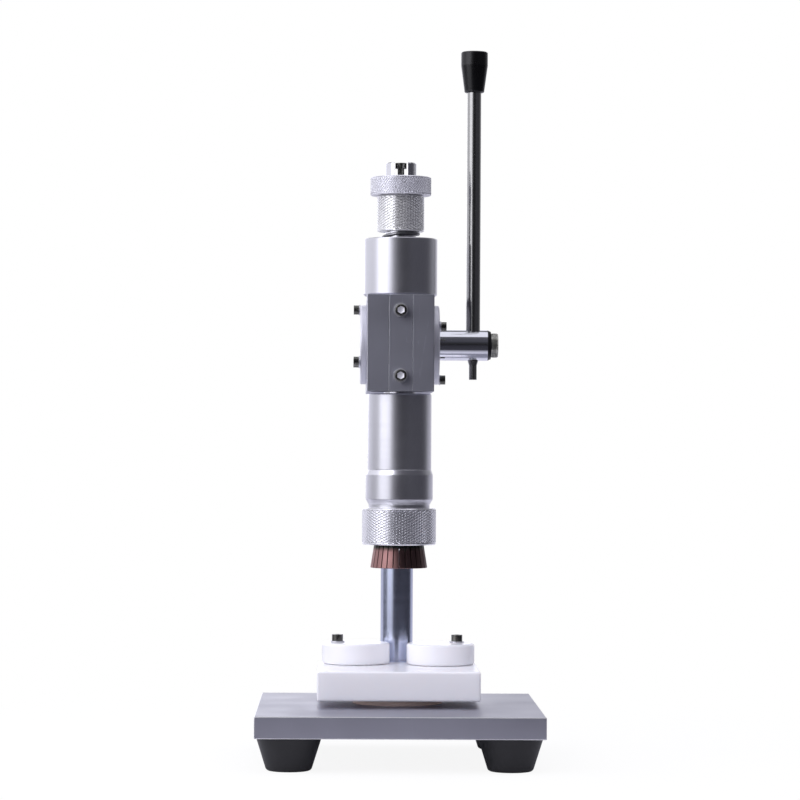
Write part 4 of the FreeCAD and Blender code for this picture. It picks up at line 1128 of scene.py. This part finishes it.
@dataclass
class Studio:
    """The pale floor, the white surround, the lamps and the camera."""

    floor_size: float = 30.0
    table_reach: tuple[float, float] = (0.15, 0.42)
    table_front: tuple[float, float] = (0.35, 0.6)
    table_lit: Color = (0.75, 0.75, 0.77)
    table_dark: Color = (0.04, 0.04, 0.044)
    shadow_reach: tuple[float, float] = (0.1, 0.55)
    shadow_white: float = 0.90
    fill: float = 0.80
    fill_color: Color = (0.88, 0.87, 1.0)
    lamp_color: Color = (0.94, 0.94, 1.0)
    middle: Place = (0.0, 0.0, 0.26)
    camera_place: Place = (-0.041, -2.255, 0.236)
    aim: Place = (0.00024, 0.0, 0.2699)
    roll: float = 0.32
    lens: float = 134.8

    def build(self) -> None:
        """Sets the floor, the surround, the lamps and the camera."""
        self.floor()
        self.surround()
        self.lamps()
        self.camera()
        bpy.context.scene.view_settings.view_transform = "Standard"

    def floor(self) -> None:
        """A white table that keeps a soft shadow and fades into the white surround."""
        mesh = bmesh.new()
        bmesh.ops.create_grid(mesh, x_segments=1, y_segments=1, size=self.floor_size)
        piece = new_piece("floor", mesh)
        material = bpy.data.materials.new("StudioTable")
        material.use_nodes = True
        tree = material.node_tree
        nodes = Nodes(tree)
        surface = tree.nodes["Principled BSDF"]
        surface.inputs["Roughness"].default_value = 1.0
        surface.inputs["Specular IOR Level"].default_value = 0.0
        point = nodes.add("TexCoord").outputs["Object"]
        away = nodes.vector("LENGTH", point)["Value"]
        camera = nodes.add("LightPath").outputs["Is Camera Ray"]
        behind = nodes.math("DIVIDE", nodes.split(point)["Y"], away)
        dark = nodes.math("MULTIPLY", nodes.remap(behind, *self.table_front, 1.0, 0.0),
                          nodes.remap(away, *self.table_reach, 0.0, 1.0))
        lit = nodes.mix(dark, self.table_lit, self.table_dark)
        nodes.link(nodes.mix(camera, lit, WHITE), surface.inputs["Base Color"])
        white = nodes.add("Emission", Color=WHITE)
        share = nodes.math("MULTIPLY", camera,
                           nodes.remap(away, *self.shadow_reach, self.shadow_white, 1.0))
        blend = nodes.blend(share, surface, white)
        nodes.link(blend.outputs[0], tree.nodes["Material Output"].inputs["Surface"])
        piece.data.materials.append(material)

    def surround(self) -> None:
        """White as the camera sees it; pale left and behind, dark elsewhere, in reflections."""
        world = bpy.data.worlds.new("Surround")
        bpy.context.scene.world = world
        world.use_nodes = True
        tree = world.node_tree
        nodes = Nodes(tree)
        ray = nodes.add("TexCoord").outputs["Generated"]
        parts = nodes.split(ray)
        right = nodes.remap(parts["X"], -0.15, 0.45, 0.0, 1.0)
        seen = nodes.mix(right, (0.80, 0.80, 0.86), (0.34, 0.34, 0.36))
        back = nodes.mix(nodes.remap(parts["X"], -0.04, 0.08, 0.0, 1.0),
                         (2.1, 2.1, 2.25), (1.0, 1.0, 1.07))
        ceiling = nodes.math("MULTIPLY", nodes.remap(parts["Z"], 0.35, 0.65, 0.0, 1.0),
                             nodes.remap(parts["X"], -0.6, -0.25, 0.0, 1.0))
        seen = nodes.mix(Cone(azimuth=180.0, wide=26.0, soft=30.0).mask(nodes, ray), seen, back)
        seen = nodes.mix(ceiling, seen, (0.16, 0.16, 0.17))
        for cone, color in (
                (Cone(azimuth=-100.0, wide=30.0, soft=24.0), (0.95, 0.95, 1.02)),
                (Cone(azimuth=42.0, wide=70.0, soft=34.0), (0.065, 0.065, 0.077)),
                (Cone(azimuth=4.0, wide=18.0, soft=24.0), (0.018, 0.018, 0.020))):
            seen = nodes.mix(cone.mask(nodes, ray), seen, color)
        rays = nodes.add("LightPath").outputs
        gloss = nodes.add("Background", Color=seen)
        plain = nodes.add("Background", Color=self.fill_color, Strength=self.fill)
        white = nodes.add("Background", Color=WHITE)
        mirrored = nodes.math("MAXIMUM", rays["Is Glossy Ray"], rays["Is Transmission Ray"])
        lit = nodes.blend(mirrored, plain, gloss)
        shown = nodes.blend(rays["Is Camera Ray"], lit, white)
        nodes.link(shown.outputs[0], tree.nodes["World Output"].inputs["Surface"])

    def lamp(self, name: str, azimuth: float, elevation: float, distance: float,
             size: tuple[float, float], radiance: float, mirrored: bool = True) -> None:
        """Adds one soft box that faces the machine.

        Args:
            name: Its name.
            azimuth: Its direction in degrees from the operator towards the right.
            elevation: Its height above the level, in degrees.
            distance: How far away it stands, in metres.
            size: Its width and height in metres.
            radiance: How bright its face is, where 1 is white.
            mirrored: Whether it shows in the machine's shiny parts.
        """
        turn, rise = math.radians(azimuth), math.radians(elevation)
        out = Vector((math.sin(turn) * math.cos(rise), -math.cos(turn) * math.cos(rise),
                      math.sin(rise)))
        data = bpy.data.lights.new(name, "AREA")
        data.shape = "RECTANGLE"
        data.size, data.size_y = size
        data.color = self.lamp_color
        data.energy = radiance * math.pi * size[0] * size[1]
        lamp = bpy.data.objects.new(name, data)
        lamp.location = Vector(self.middle) + out * distance
        lamp.rotation_euler = (-out).to_track_quat("-Z", "Y").to_euler()
        lamp.visible_glossy = mirrored
        bpy.context.scene.collection.objects.link(lamp)

    def lamps(self) -> None:
        """A tall soft box on the front left, a harder one above it, one overhead and a fill."""
        self.lamp("left_box", azimuth=-54.0, elevation=12.0, distance=1.6, size=(1.35, 2.2),
                  radiance=1.0)
        self.lamp("key_box", azimuth=-40.0, elevation=34.0, distance=1.7, size=(0.45, 0.45),
                  radiance=6.0)
        self.lamp("top_box", azimuth=180.0, elevation=87.0, distance=1.7, size=(1.7, 1.7),
                  radiance=0.8)
        self.lamp("side_fill", azimuth=-82.0, elevation=18.0, distance=1.6, size=(0.9, 1.4),
                  radiance=1.6, mirrored=False)

    def camera(self) -> None:
        """The camera at the photograph's height and distance."""
        data = bpy.data.cameras.new("camera")
        data.lens = self.lens
        data.clip_end = 100.0
        camera = bpy.data.objects.new("camera", data)
        place = Vector(self.camera_place)
        camera.location = place
        look = (Vector(self.aim) - place).to_track_quat("-Z", "Y").to_matrix().to_4x4()
        roll = Matrix.Rotation(math.radians(self.roll), 4, "Z")
        camera.rotation_euler = (look @ roll).to_euler()
        bpy.context.scene.collection.objects.link(camera)
        bpy.context.scene.camera = camera


def main() -> None:
    """Builds the machine and the studio round it."""
    logging.basicConfig(level=logging.INFO, format="%(name)s: %(message)s")
    finishes = Finishes()
    for part in (BaseAndColumn, Head, Lever, Ram, Core):
        part(finishes).build()
    Studio().build()


if __name__ == "__main__":
    main()
